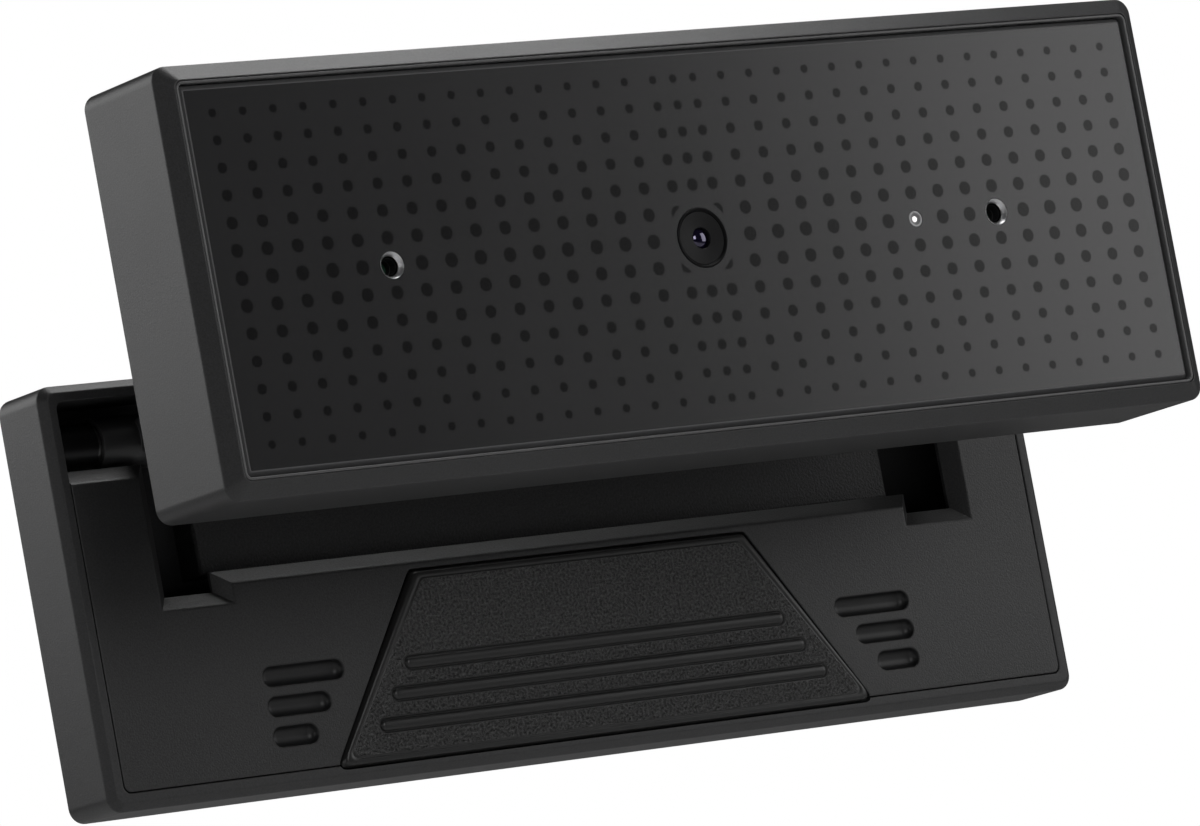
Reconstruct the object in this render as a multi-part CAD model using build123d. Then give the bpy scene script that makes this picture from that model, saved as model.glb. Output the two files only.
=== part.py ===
"""Clip-on camera for the top edge of a television screen, in millimetres.

Two flat units of the same outline are joined by a folding arm: the camera head hangs in
front of the screen, the clamp unit presses on the screen's back, and the arm rests on the
screen's top edge. X runs to the viewer's right, Y runs back from the viewer, Z is up. The
origin is on the clamp unit's grip pad, at the middle of its plain upper field.
"""
from build123d import *
import math
import os

# Both units
UNIT_WIDTH = 180.0
UNIT_HEIGHT = 63.0
OUTER_CORNER = 2.4
SMALLEST_CORNER = 0.6
BACK_EDGE = 0.6
WALL = 2.56
INNER_PLATE_GAP = 0.1
CUT_PAST = 1.0

# How the units stand to each other: open on a screen, and folded flat
GAP_OPEN = 24.25
GAP_CLOSED = 1.0
HEAD_RISE = 37.5

# Camera head
HEAD_DEPTH = 20.4
HEAD_CHAMFER_WIDTH = 2.5
HEAD_CHAMFER_DEPTH = 1.9
BEZEL_PROUD = 0.5
BEZEL_HALF_WIDTH = 87.4
BEZEL_BAND = 0.45
BEZEL_EDGE = 0.2
GLASS_HALF_WIDTH = 86.8
GLASS_THICKNESS = 1.1
GLASS_CORNER = 0.8
GLASS_BEVEL = 0.6
GLASS_HOLE_GAP = 0.05
LENS_RADIUS = 4.5
LENS_RING_BAND = 0.55
LENS_RING_PROUD = 0.15
WINDOW_SUNK = 0.1
WINDOW_THICKNESS = 0.7
WINDOW_RADIUS = 3.9
BARREL_RADIUS = 3.2
BARREL_BORE = 2.2
BARREL_START = 1.2
HOLDER_START = 8.0
HOLDER_END = 12.0
HOLDER_HALF = 5.0
SENSOR_CAVITY_HALF = 4.0
SENSOR_CAVITY_START = 10.5
ELEMENT_RADIUS = 2.18
DOME_RADIUS = 3.4
DOME_START = 1.7
DOME_THICKNESS = 1.5
REAR_ELEMENT = (6.0, 7.2)
SENSOR_START = 11.2
SENSOR_HALF_WIDTH = 3.2
SENSOR_HALF_HEIGHT = 2.4
CAMERA_BOARD_HALF = 7.0
CAMERA_BOARD_END = 13.0
MIC_X = 55.7
MIC_RADIUS = 2.0
MIC_BORE = 1.2
MIC_MOUTH_RADIUS = 1.7
MIC_MOUTH_DEPTH = 0.8
MIC_CARRIER_BORE = 1.3
GASKET_RADIUS = 2.4
GASKET_THICKNESS = 1.0
MIC_BOARD_HALF_WIDTH = 4.5
MIC_BOARD_HALF_HEIGHT = 3.5
MIC_BOARD_THICKNESS = 1.0
SOUND_HOLE_RADIUS = 0.6
LIGHT_X = 40.1
LIGHT_RADIUS = 1.2
LIGHT_PIPE_LENGTH = 8.9
LED_START = 9.0
LED_HALF_WIDTH = 1.5
LED_HALF_HEIGHT = 1.0
BOARD_START = 10.0
BOARD_THICKNESS = 1.2
BOARD_SPAN = (12.0, 58.0)
BOARD_MARGIN = 7.0
CAN_SPAN = (20.0, 46.0)
CAN_DROPS = (20.0, 2.0)
CAN_DEPTH = 2.0
CAN_SHEET = 0.4
CHIP_SPAN = (26.0, 40.0)
CHIP_DROPS = (18.0, 4.0)
CHIP_THICKNESS = 1.4
SPREADER_SPAN = (12.0, 60.0)
SPREADER_LOW = 22.0
SPREADER_HIGH = 12.0
SPREADER_THICKNESS = 1.0

# Clamp unit
CLAMP_DEPTH = 12.4
CLAMP_CHAMFER_WIDTH = 1.15
CLAMP_CHAMFER_DEPTH = 1.2
BACK_WALL = 1.8
FACE_THICKNESS = 2.9
FACE_GAP = 0.14
FACE_CORNER = 1.2
TROUGH_DROP = 14.8
LIP_DROP = 31.7
POCKET_DROP = 34.7
POCKET_INNER_X = 62.7
RECESS_HALF_WIDTH = 75.6
RECESS_BEVEL = 2.2
BEVEL_OVERLAP = 0.01
PLATFORM_DEPTH = 5.4
PLATFORM_HALF_WIDTH = 64.3

# Grip pad: a trapezoid with three ribs, in a pocket that it stands proud of
PAD_TOP_DROP = 32.9
PAD_BOTTOM_DROP = 60.9
PAD_TOP_HALF = 31.1
PAD_BOTTOM_HALF = 50.0
PAD_PROUD = 0.6
PAD_POCKET = 1.8
PAD_GAP = 0.25
PAD_FIELD_DROP = 39.8
RIB_DROPS = (46.6, 51.0, 55.4)
RIB_HALF_LENGTHS = (35.3, 38.5, 41.6)
RIB_HEIGHT = 0.35
RIB_BREADTH = 1.7

# Blind slots either side of the pad
SLOT_DROPS = (46.1, 50.6, 55.1)
SLOT_INNER_X = (46.0, 49.2, 52.4)
SLOT_OUTER_X = 60.3
SLOT_BREADTH = 2.9
SLOT_DEPTH = 1.3

# Folding arm
PIVOT_DROP = 8.7
PIVOT_IN_CLAMP = 5.5
PIVOT_IN_HEAD = 5.0
KNUCKLE_RADIUS = 4.0
LEG_INNER_X = 65.0
LEG_OUTER_X = 73.0
LEG_HALF_THICKNESS = 2.6
CLAMP_KNUCKLE_X = 79.4
PIN_RADIUS = 1.6
PIN_RUNNING_GAP = 0.05
PIN_END_GAP = 0.1
HEAD_PIN_START = LEG_INNER_X + 1.5
CLAMP_PIN_START = LEG_INNER_X + 4.2
LEG_EDGE = 0.5
WEB_START = 9.0
WEB_END = 24.5
WEB_LOW = 1.0
WEB_THICKNESS = 2.4
WEB_SEAT_DEPTH = 1.1
SHANK_SHORT = 0.2
TAB_START = 11.0
TAB_END = 19.0
TAB_WIDTH = 9.0
TAB_DROP = 1.6
TAB_SCREW_INSET = 2.2
SEAT_START = 10.5
SEAT_END = 20.0
SEAT_DROP = 1.4
SEAT_HALF_WIDTH = 55.5
SEAT_EDGE = 0.4

# Places worked out from the sizes above
CLAMP_TOP = PAD_FIELD_DROP
CLAMP_FACE = PAD_PROUD
CLAMP_FLOOR = CLAMP_FACE + CLAMP_DEPTH - BACK_WALL
HEAD_TOP = CLAMP_TOP + HEAD_RISE
HEAD_MIDDLE = HEAD_TOP - UNIT_HEIGHT / 2
HEAD_BACK = CLAMP_FACE - GAP_OPEN
GLASS_FRONT = HEAD_BACK - HEAD_DEPTH
REACH_OPEN = GAP_OPEN + PIVOT_IN_CLAMP + PIVOT_IN_HEAD
REACH_CLOSED = GAP_CLOSED + PIVOT_IN_CLAMP + PIVOT_IN_HEAD
PIVOT_RISE = (REACH_CLOSED**2 + HEAD_RISE**2 - REACH_OPEN**2) / (2 * HEAD_RISE)
CLAMP_PIVOT = (CLAMP_FACE + PIVOT_IN_CLAMP, CLAMP_TOP - PIVOT_DROP)
HEAD_PIVOT = (HEAD_BACK - PIVOT_IN_HEAD, CLAMP_PIVOT[1] + PIVOT_RISE)
OPEN_HALF_WIDTH = UNIT_WIDTH / 2 - WALL
OPEN_HEIGHT = UNIT_HEIGHT - 2 * WALL
FOLD_DEGREES = math.degrees(
    math.atan2(PIVOT_RISE, REACH_OPEN) + math.atan2(HEAD_RISE - PIVOT_RISE, REACH_CLOSED)
)

SIDES = (-1, 1)


def inward(outline, front, depth, top, taper=0.0):
    """Extrude an outline of X and drop-below-the-top backwards from the plane y = front."""
    plane = Plane(origin=(0, front, top), x_dir=(1, 0, 0), z_dir=(0, 1, 0))
    return extrude(plane * outline, depth, taper=taper)


def centred_rectangle(width, height, corner, middle_drop):
    """A rounded rectangle on the centre line whose middle is middle_drop below the top."""
    return Pos(0, middle_drop) * RectangleRounded(width, height, corner)


def block(x_low, x_high, y_low, y_high, z_low, z_high):
    """A plain box between two corners."""
    middle = ((x_low + x_high) / 2, (y_low + y_high) / 2, (z_low + z_high) / 2)
    return Pos(*middle) * Box(abs(x_high - x_low), y_high - y_low, z_high - z_low)


def cross_rod(x_start, x_end, radius, centre):
    """A cylinder along X between two X values, about the centre (y, z)."""
    middle = (x_start + x_end) / 2
    return Pos(middle, *centre) * Rot(0, 90, 0) * Cylinder(radius, abs(x_end - x_start))


def depth_rod(x, z, y_front, y_back, radius):
    """A cylinder along Y between two depths."""
    return Pos(x, (y_front + y_back) / 2, z) * Rot(90, 0, 0) * Cylinder(radius, y_back - y_front)


def polygon(points):
    """A closed face through the given points."""
    return make_face(Polyline(*points, close=True))


def chamfered_front(front, chamfer_width, chamfer_depth, top):
    """The sloping front ring of a unit: a small rounded rectangle growing to the full outline."""
    middle = UNIT_HEIGHT / 2
    corner = max(OUTER_CORNER - chamfer_width, SMALLEST_CORNER)
    small = centred_rectangle(
        UNIT_WIDTH - 2 * chamfer_width, UNIT_HEIGHT - 2 * chamfer_width, corner, middle
    )
    full = centred_rectangle(UNIT_WIDTH, UNIT_HEIGHT, OUTER_CORNER, middle)
    front_plane = Plane(origin=(0, front, top), x_dir=(1, 0, 0), z_dir=(0, 1, 0))
    back_plane = front_plane.offset(chamfer_depth)
    return loft([front_plane * small, back_plane * full], ruled=True)


def unit_body(front, depth, chamfer_width, chamfer_depth, top):
    """The solid outside shape of a unit, with its front chamfer and an eased back edge."""
    full = centred_rectangle(UNIT_WIDTH, UNIT_HEIGHT, OUTER_CORNER, UNIT_HEIGHT / 2)
    straight = inward(full, front + chamfer_depth, depth - chamfer_depth, top)
    straight = chamfer(straight.faces().sort_by(Axis.Y)[-1].edges(), BACK_EDGE)
    return chamfered_front(front, chamfer_width, chamfer_depth, top) + straight


# ---------------------------------------------------------------- camera head

COVER_THICKNESS = 2.0
COVER_FRONT = HEAD_BACK - COVER_THICKNESS
GLUE_THICKNESS = 0.05
CARRIER_FRONT = GLASS_FRONT + GLASS_THICKNESS + GLUE_THICKNESS
CARRIER_THICKNESS = 1.5
CARRIER_BACK = CARRIER_FRONT + CARRIER_THICKNESS
BOARD_BACK = GLASS_FRONT + BOARD_START + BOARD_THICKNESS
COLUMN_HALF_WIDTH = 73.6
COLUMN_INNER_X = 64.4
KNUCKLE_CLEARANCE = 0.6
COLUMN_DEPTH = PIVOT_IN_HEAD + KNUCKLE_RADIUS + KNUCKLE_CLEARANCE
COLUMN_LOW = HEAD_PIVOT[1] - 4.5
COLUMN_HIGH = HEAD_PIVOT[1] + 24.0
WEB_RECESS_DEPTH = 3.4
WEB_RECESS_LOW = HEAD_PIVOT[1] + 3.5
WEB_RECESS_HIGH = HEAD_PIVOT[1] + 22.0
TUB_WALL = 1.2
BRACKET_OUTER_X = 82.0
BRACKET_HALF = 3.6
PIN_HOLE_GAP = 0.15
WASHER_RADIUS = 3.2
WASHER_HOLE_GAP = 0.02
WASHER_SIDE_GAP = 0.06
BOSS_RADIUS = 3.0
BOSS_IN_WALL = 0.2
BOSS_X = OPEN_HALF_WIDTH - BOSS_RADIUS + BOSS_IN_WALL
HEAD_BOSS_Z = UNIT_HEIGHT / 2 - WALL - BOSS_RADIUS + BOSS_IN_WALL
BOSS_HOLE_DEPTH = 6.0
SCREW_RADIUS = 0.9
SCREW_HEAD_RADIUS = 1.9
SCREW_HEAD_HEIGHT = 0.8
SCREW_HEAD_SUNK = 0.2
COVER_SEAT = HEAD_BACK - SCREW_HEAD_SUNK - SCREW_HEAD_HEIGHT
COVER_SHANK_REACH = 5.0
THREAD_GAP = 0.05
TAPPED_GAP = 0.02
SHANK_GAP = 0.15
SCREW_HEAD_GAP = 0.1
SOCKET_DROP = 9.5
SOCKET_Z = HEAD_TOP - SOCKET_DROP
SOCKET_WIDTH = 8.9
SOCKET_HEIGHT = 3.2
SOCKET_SHEET = 0.3
SOCKET_HOLE_GAP = 0.15
SOCKET_LENGTH = 7.0
SOCKET_SUNK = 0.2
SOCKET_BACK = 0.8
TONGUE_HALF_WIDTH = 3.3
TONGUE_HALF_HEIGHT = 0.35
TONGUE_SUNK = 1.5


def head_shell():
    """Moulded frame round the head, open behind, with a sloping front rim."""
    front = GLASS_FRONT - BEZEL_PROUD
    depth = HEAD_DEPTH + BEZEL_PROUD
    body = unit_body(front, depth, HEAD_CHAMFER_WIDTH, HEAD_CHAMFER_DEPTH, HEAD_TOP)
    opening = centred_rectangle(2 * OPEN_HALF_WIDTH, OPEN_HEIGHT, FACE_CORNER, UNIT_HEIGHT / 2)
    body -= inward(opening, front - CUT_PAST, depth + 2 * CUT_PAST, HEAD_TOP)
    for side in SIDES:
        for level in SIDES:
            place = (side * BOSS_X, HEAD_MIDDLE + level * HEAD_BOSS_Z)
            boss = depth_rod(*place, CARRIER_BACK, COVER_FRONT, BOSS_RADIUS)
            hole_start = COVER_FRONT - BOSS_HOLE_DEPTH
            body += boss - depth_rod(*place, hole_start, COVER_FRONT, SCREW_RADIUS + THREAD_GAP)
    return body


def rim_outline(inset, corner):
    """A rounded rectangle inside the head's outline by the given inset from the bezel's outside."""
    return centred_rectangle(
        2 * (BEZEL_HALF_WIDTH - inset),
        2 * (BEZEL_HALF_WIDTH - inset) - (UNIT_WIDTH - UNIT_HEIGHT),
        corner,
        UNIT_HEIGHT / 2,
    )


def head_bezel():
    """Raised rim strip between the shell's slope and the glass."""
    front = GLASS_FRONT - BEZEL_PROUD
    ring = inward(rim_outline(0, FACE_CORNER), front, CARRIER_FRONT - front, HEAD_TOP)
    ring = chamfer(ring.faces().sort_by(Axis.Y)[0].edges(), BEZEL_EDGE)
    hole_depth = CARRIER_FRONT - front + 2 * CUT_PAST
    return ring - inward(rim_outline(BEZEL_BAND, GLASS_CORNER), front - CUT_PAST, hole_depth, HEAD_TOP)


def front_glass():
    """Cover glass with a lens hole, two microphone holes and a light hole."""
    outline = rim_outline(BEZEL_HALF_WIDTH - GLASS_HALF_WIDTH, GLASS_CORNER)
    sheet = inward(outline, GLASS_FRONT, GLASS_THICKNESS, HEAD_TOP)
    sheet = chamfer(sheet.faces().sort_by(Axis.Y)[0].edges(), GLASS_BEVEL)
    holes = [(0, LENS_RADIUS), (-MIC_X, MIC_RADIUS), (MIC_X, MIC_RADIUS), (LIGHT_X, LIGHT_RADIUS)]
    for x, radius in holes:
        hole = radius + GLASS_HOLE_GAP
        sheet -= depth_rod(x, HEAD_MIDDLE, GLASS_FRONT - CUT_PAST, CARRIER_FRONT, hole)
    return sheet


def inner_plate_outline():
    """Outline of a plate that fits inside a unit's walls."""
    width = 2 * (OPEN_HALF_WIDTH - INNER_PLATE_GAP)
    height = OPEN_HEIGHT - 2 * INNER_PLATE_GAP
    return centred_rectangle(width, height, FACE_CORNER, UNIT_HEIGHT / 2)


def glass_carrier():
    """Inner plate that the glass and the bezel are bonded to."""
    plate = inward(inner_plate_outline(), CARRIER_FRONT, CARRIER_THICKNESS, HEAD_TOP)
    holes = [
        (0, WINDOW_RADIUS),
        (-MIC_X, MIC_CARRIER_BORE),
        (MIC_X, MIC_CARRIER_BORE),
        (LIGHT_X, LIGHT_RADIUS + GLASS_HOLE_GAP),
    ]
    for x, radius in holes:
        plate -= depth_rod(x, HEAD_MIDDLE, CARRIER_FRONT - CUT_PAST, CARRIER_BACK + CUT_PAST, radius)
    return plate


def ring_along_y(x, y_front, y_back, outer, inner):
    """A flat ring about an axis along Y at the head's mid height."""
    ring = depth_rod(x, HEAD_MIDDLE, y_front, y_back, outer)
    return ring - depth_rod(x, HEAD_MIDDLE, y_front - CUT_PAST, y_back + CUT_PAST, inner)


def lens_ring():
    """Black metal ring that lines the lens hole in the glass."""
    front = GLASS_FRONT - LENS_RING_PROUD
    return ring_along_y(0, front, CARRIER_FRONT, LENS_RADIUS, LENS_RADIUS - LENS_RING_BAND)


def lens_window():
    """Small cover window in front of the lens."""
    front = GLASS_FRONT + WINDOW_SUNK
    return depth_rod(0, HEAD_MIDDLE, front, front + WINDOW_THICKNESS, WINDOW_RADIUS)


def lens_rod(start, end, radius):
    """A cylinder on the lens's axis between two depths behind the glass's front."""
    return depth_rod(0, HEAD_MIDDLE, GLASS_FRONT + start, GLASS_FRONT + end, radius)


def lens_block(half_width, half_height, start, end):
    """A box about the lens's axis between two depths behind the glass's front."""
    return block(
        -half_width, half_width, GLASS_FRONT + start, GLASS_FRONT + end,
        HEAD_MIDDLE - half_height, HEAD_MIDDLE + half_height,
    )


def lens_barrel():
    """Threaded lens tube on its square holder, with a cavity over the sensor."""
    tube = lens_rod(BARREL_START, HOLDER_START, BARREL_RADIUS)
    body = tube + lens_block(HOLDER_HALF, HOLDER_HALF, HOLDER_START, HOLDER_END)
    body -= lens_rod(BARREL_START - CUT_PAST, SENSOR_CAVITY_START + CUT_PAST, BARREL_BORE)
    cavity_end = HOLDER_END + CUT_PAST
    return body - lens_block(SENSOR_CAVITY_HALF, SENSOR_CAVITY_HALF, SENSOR_CAVITY_START, cavity_end)


def lens_elements():
    """Two round lenses in the barrel: a domed front one and a flatter rear one."""
    dome = Pos(0, GLASS_FRONT + DOME_START + DOME_RADIUS, HEAD_MIDDLE) * Sphere(DOME_RADIUS)
    dome &= lens_rod(DOME_START - CUT_PAST, DOME_START + DOME_THICKNESS, ELEMENT_RADIUS)
    return [dome, lens_rod(*REAR_ELEMENT, ELEMENT_RADIUS)]


def image_sensor():
    """Sensor chip behind the lens."""
    return lens_block(SENSOR_HALF_WIDTH, SENSOR_HALF_HEIGHT, SENSOR_START, HOLDER_END)


def camera_board():
    """Small circuit board that carries the sensor."""
    return lens_block(CAMERA_BOARD_HALF, CAMERA_BOARD_HALF, HOLDER_END, CAMERA_BOARD_END)


def mic_port_rings():
    """Flush ring with a slanted mouth in each microphone hole."""
    rings = []
    for side in SIDES:
        ring = ring_along_y(side * MIC_X, GLASS_FRONT, CARRIER_FRONT, MIC_RADIUS, MIC_BORE)
        mouth_middle = Pos(side * MIC_X, GLASS_FRONT + MIC_MOUTH_DEPTH / 2, HEAD_MIDDLE)
        mouth = Rot(90, 0, 0) * Cone(MIC_BORE, MIC_MOUTH_RADIUS, MIC_MOUTH_DEPTH)
        rings.append(ring - mouth_middle * mouth)
    return rings


def mic_gaskets():
    """Soft sealing rings between the carrier and the microphone boards."""
    end = CARRIER_BACK + GASKET_THICKNESS
    return [
        ring_along_y(side * MIC_X, CARRIER_BACK, end, GASKET_RADIUS, MIC_BORE) for side in SIDES
    ]


def mic_boards():
    """Microphone boards, each with its sound hole."""
    boards = []
    front = CARRIER_BACK + GASKET_THICKNESS
    back = front + MIC_BOARD_THICKNESS
    for side in SIDES:
        x = side * MIC_X
        board = block(
            x - MIC_BOARD_HALF_WIDTH, x + MIC_BOARD_HALF_WIDTH, front, back,
            HEAD_MIDDLE - MIC_BOARD_HALF_HEIGHT, HEAD_MIDDLE + MIC_BOARD_HALF_HEIGHT,
        )
        hole = depth_rod(x, HEAD_MIDDLE, front - CUT_PAST, back + CUT_PAST, SOUND_HOLE_RADIUS)
        boards.append(board - hole)
    return boards


def status_light_pipe():
    """Clear rod that carries the status light to the glass."""
    end = GLASS_FRONT + LIGHT_PIPE_LENGTH
    return depth_rod(LIGHT_X, HEAD_MIDDLE, GLASS_FRONT, end, LIGHT_RADIUS)


def status_led():
    """Light source on the main board."""
    return block(
        LIGHT_X - LED_HALF_WIDTH, LIGHT_X + LED_HALF_WIDTH,
        GLASS_FRONT + LED_START, GLASS_FRONT + BOARD_START,
        HEAD_MIDDLE - LED_HALF_HEIGHT, HEAD_MIDDLE + LED_HALF_HEIGHT,
    )


def main_board():
    """Main circuit board beside the camera."""
    half = UNIT_HEIGHT / 2 - BOARD_MARGIN
    front = GLASS_FRONT + BOARD_START
    return block(*BOARD_SPAN, front, BOARD_BACK, HEAD_MIDDLE - half, HEAD_MIDDLE + half)


def shield_can():
    """Pressed metal can over the processor, open towards the board."""
    low, high = (HEAD_MIDDLE - drop for drop in CAN_DROPS)
    can = block(*CAN_SPAN, BOARD_BACK, BOARD_BACK + CAN_DEPTH, low, high)
    return can - block(
        CAN_SPAN[0] + CAN_SHEET, CAN_SPAN[1] - CAN_SHEET,
        BOARD_BACK - CUT_PAST, BOARD_BACK + CAN_DEPTH - CAN_SHEET,
        low + CAN_SHEET, high - CAN_SHEET,
    )


def processor():
    """Processor chip under the shield can."""
    low, high = (HEAD_MIDDLE - drop for drop in CHIP_DROPS)
    return block(*CHIP_SPAN, BOARD_BACK, BOARD_BACK + CHIP_THICKNESS, low, high)


def heat_spreader():
    """Aluminium plate on the shield can."""
    front = BOARD_BACK + CAN_DEPTH
    return block(
        *SPREADER_SPAN, front, front + SPREADER_THICKNESS,
        HEAD_MIDDLE - SPREADER_LOW, HEAD_MIDDLE + SPREADER_HIGH,
    )


def column_box(side, margin, front, back):
    """The space one arm leg folds into, grown by a margin."""
    return block(
        side * (COLUMN_INNER_X - margin), side * (COLUMN_HALF_WIDTH + margin),
        front, back, COLUMN_LOW - margin, COLUMN_HIGH + margin,
    )


def head_rear_cover():
    """Back plate of the head, with the recess that takes the folded arm."""
    cover = inward(inner_plate_outline(), COVER_FRONT, COVER_THICKNESS, HEAD_TOP)
    web_front = HEAD_BACK - WEB_RECESS_DEPTH
    cover += block(
        -LEG_INNER_X, LEG_INNER_X, web_front - TUB_WALL, COVER_FRONT,
        WEB_RECESS_LOW - TUB_WALL, WEB_RECESS_HIGH + TUB_WALL,
    )
    for side in SIDES:
        cover += column_box(side, TUB_WALL, HEAD_BACK - COLUMN_DEPTH - TUB_WALL, COVER_FRONT)
    for side in SIDES:
        cover -= column_box(side, 0, HEAD_BACK - COLUMN_DEPTH, HEAD_BACK + CUT_PAST)
        pin_hole_end = side * (COLUMN_HALF_WIDTH + TUB_WALL + CUT_PAST)
        pin_hole = PIN_RADIUS + PIN_HOLE_GAP
        cover -= cross_rod(side * COLUMN_HALF_WIDTH, pin_hole_end, pin_hole, HEAD_PIVOT)
        for level in SIDES:
            place = (side * BOSS_X, HEAD_MIDDLE + level * HEAD_BOSS_Z)
            end = HEAD_BACK + CUT_PAST
            cover -= depth_rod(*place, COVER_FRONT - CUT_PAST, end, SCREW_RADIUS + SHANK_GAP)
            cover -= depth_rod(*place, COVER_SEAT, end, SCREW_HEAD_RADIUS + SCREW_HEAD_GAP)
    cover -= block(
        -COLUMN_INNER_X - CUT_PAST, COLUMN_INNER_X + CUT_PAST, web_front, HEAD_BACK + CUT_PAST,
        WEB_RECESS_LOW, WEB_RECESS_HIGH,
    )
    socket_hole = socket_outline(SOCKET_HOLE_GAP)
    return cover - inward(socket_hole, COVER_FRONT - CUT_PAST, COVER_THICKNESS + 2 * CUT_PAST, HEAD_TOP)


def socket_outline(margin):
    """The power socket's mouth, grown all round by a margin."""
    mouth = SlotOverall(SOCKET_WIDTH + 2 * margin, SOCKET_HEIGHT + 2 * margin)
    return Pos(0, SOCKET_DROP) * mouth


def cover_screws():
    """Four screws that hold the rear cover to the shell's bosses."""
    screws = []
    for side in SIDES:
        for level in SIDES:
            place = (side * BOSS_X, HEAD_MIDDLE + level * HEAD_BOSS_Z)
            shank = depth_rod(*place, COVER_FRONT - COVER_SHANK_REACH, COVER_SEAT, SCREW_RADIUS)
            head = depth_rod(*place, COVER_SEAT, COVER_SEAT + SCREW_HEAD_HEIGHT, SCREW_HEAD_RADIUS)
            screws.append(shank + head)
    return screws


def power_socket():
    """Power and data socket: a metal shell with a contact tongue, mouth in the rear cover."""
    front = HEAD_BACK - SOCKET_SUNK - SOCKET_LENGTH
    outer = inward(socket_outline(0), front, SOCKET_LENGTH, HEAD_TOP)
    inner = inward(socket_outline(-SOCKET_SHEET), front + SOCKET_BACK, SOCKET_LENGTH, HEAD_TOP)
    tongue = block(
        -TONGUE_HALF_WIDTH, TONGUE_HALF_WIDTH, front + SOCKET_BACK / 2, HEAD_BACK - TONGUE_SUNK,
        SOCKET_Z - TONGUE_HALF_HEIGHT, SOCKET_Z + TONGUE_HALF_HEIGHT,
    )
    return outer - inner + tongue


def head_hinge_brackets():
    """Steel blocks beside the arm's columns that hold the head's hinge pins."""
    brackets = []
    inner_x = COLUMN_HALF_WIDTH + TUB_WALL
    for side in SIDES:
        y, z = HEAD_PIVOT
        bracket = block(
            side * inner_x, side * BRACKET_OUTER_X, y - BRACKET_HALF, COVER_FRONT,
            z - BRACKET_HALF, z + BRACKET_HALF,
        )
        hole_end = side * (BRACKET_OUTER_X + CUT_PAST)
        hole = cross_rod(side * inner_x, hole_end, PIN_RADIUS, HEAD_PIVOT)
        brackets.append(bracket - hole)
    return brackets


def head_hinge_pins():
    """Steel pins between the head's brackets and the arm's legs."""
    return [
        cross_rod(side * HEAD_PIN_START, side * BRACKET_OUTER_X, PIN_RADIUS, HEAD_PIVOT)
        for side in SIDES
    ]


def friction_washers(inner_x, outer_x, centre):
    """Spring washers that give a hinge its grip, one on each side."""
    washers = []
    for side in SIDES:
        disc = cross_rod(side * inner_x, side * outer_x, WASHER_RADIUS, centre)
        hole = cross_rod(
            side * (inner_x - CUT_PAST), side * (outer_x + CUT_PAST), PIN_RADIUS + WASHER_HOLE_GAP, centre
        )
        washers.append(disc - hole)
    return washers


# ---------------------------------------------------------------- folding arm


def along_arm(distance):
    """Depth of a point that is the given distance in front of the clamp's pivot."""
    return CLAMP_PIVOT[0] - distance


def above_pivot(height):
    """Height of a point above the clamp's pivot."""
    return CLAMP_PIVOT[1] + height


def leg_bar():
    """The straight bar of a leg between its two pivots, as an outline of Y and Z."""
    length = math.hypot(REACH_OPEN, PIVOT_RISE)
    angle = math.degrees(math.atan2(PIVOT_RISE, -REACH_OPEN))
    middle = (
        (CLAMP_PIVOT[0] + HEAD_PIVOT[0]) / 2,
        (CLAMP_PIVOT[1] + HEAD_PIVOT[1]) / 2,
    )
    return Pos(*middle) * Rot(0, 0, angle) * Rectangle(length, 2 * LEG_HALF_THICKNESS)


def arm_leg(side):
    """One die-cast leg: two knuckles, a bar between them and a tab under the web."""
    outline = leg_bar()
    for centre in (CLAMP_PIVOT, HEAD_PIVOT):
        outline += Pos(*centre) * Circle(KNUCKLE_RADIUS)
    start = LEG_INNER_X if side > 0 else -LEG_OUTER_X
    leg = extrude(Plane.YZ.offset(start) * outline, LEG_OUTER_X - LEG_INNER_X)
    outer_face = leg.faces().sort_by(Axis.X)[-1 if side > 0 else 0]
    leg = chamfer(outer_face.edges(), LEG_EDGE)
    leg += cross_rod(side * LEG_INNER_X, side * CLAMP_KNUCKLE_X, KNUCKLE_RADIUS, CLAMP_PIVOT)
    leg += block(
        side * (LEG_INNER_X - TAB_WIDTH), side * LEG_INNER_X,
        along_arm(TAB_END), along_arm(TAB_START),
        above_pivot(WEB_LOW - TAB_DROP), above_pivot(WEB_LOW),
    )
    bore = PIN_RADIUS + PIN_RUNNING_GAP
    clamp_bore_start = CLAMP_PIN_START - PIN_END_GAP
    head_bore_start = HEAD_PIN_START - PIN_END_GAP
    leg -= cross_rod(side * clamp_bore_start, side * (CLAMP_KNUCKLE_X + CUT_PAST), bore, CLAMP_PIVOT)
    leg -= cross_rod(side * head_bore_start, side * (LEG_OUTER_X + CUT_PAST), bore, HEAD_PIVOT)
    return leg - web_screw_holes(SCREW_RADIUS + TAPPED_GAP)


def web_screw_places():
    """Centres of the four screws that hold the web to the legs' tabs."""
    return [
        (side * (LEG_INNER_X - TAB_WIDTH / 2), along_arm(distance))
        for side in SIDES
        for distance in (TAB_START + TAB_SCREW_INSET, TAB_END - TAB_SCREW_INSET)
    ]


def web_screw_holes(radius):
    """Cutter for the web's four screws."""
    low = WEB_LOW - TAB_DROP - CUT_PAST
    high = WEB_LOW + WEB_THICKNESS + CUT_PAST
    cutter = Part()
    for x, y in web_screw_places():
        cutter += Pos(x, y, above_pivot((low + high) / 2)) * Cylinder(radius, high - low)
    return cutter


def arm_web():
    """Flat plate between the legs that lies over the screen's top edge."""
    top = WEB_LOW + WEB_THICKNESS
    web = block(
        -LEG_INNER_X, LEG_INNER_X, along_arm(WEB_END), along_arm(WEB_START),
        above_pivot(WEB_LOW), above_pivot(top),
    )
    web -= web_screw_holes(SCREW_RADIUS + SCREW_HEAD_GAP)
    for x, y in web_screw_places():
        sink = Cylinder(SCREW_HEAD_RADIUS + SCREW_HEAD_GAP, 2 * WEB_SEAT_DEPTH)
        web -= Pos(x, y, above_pivot(top)) * sink
    return web


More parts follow.
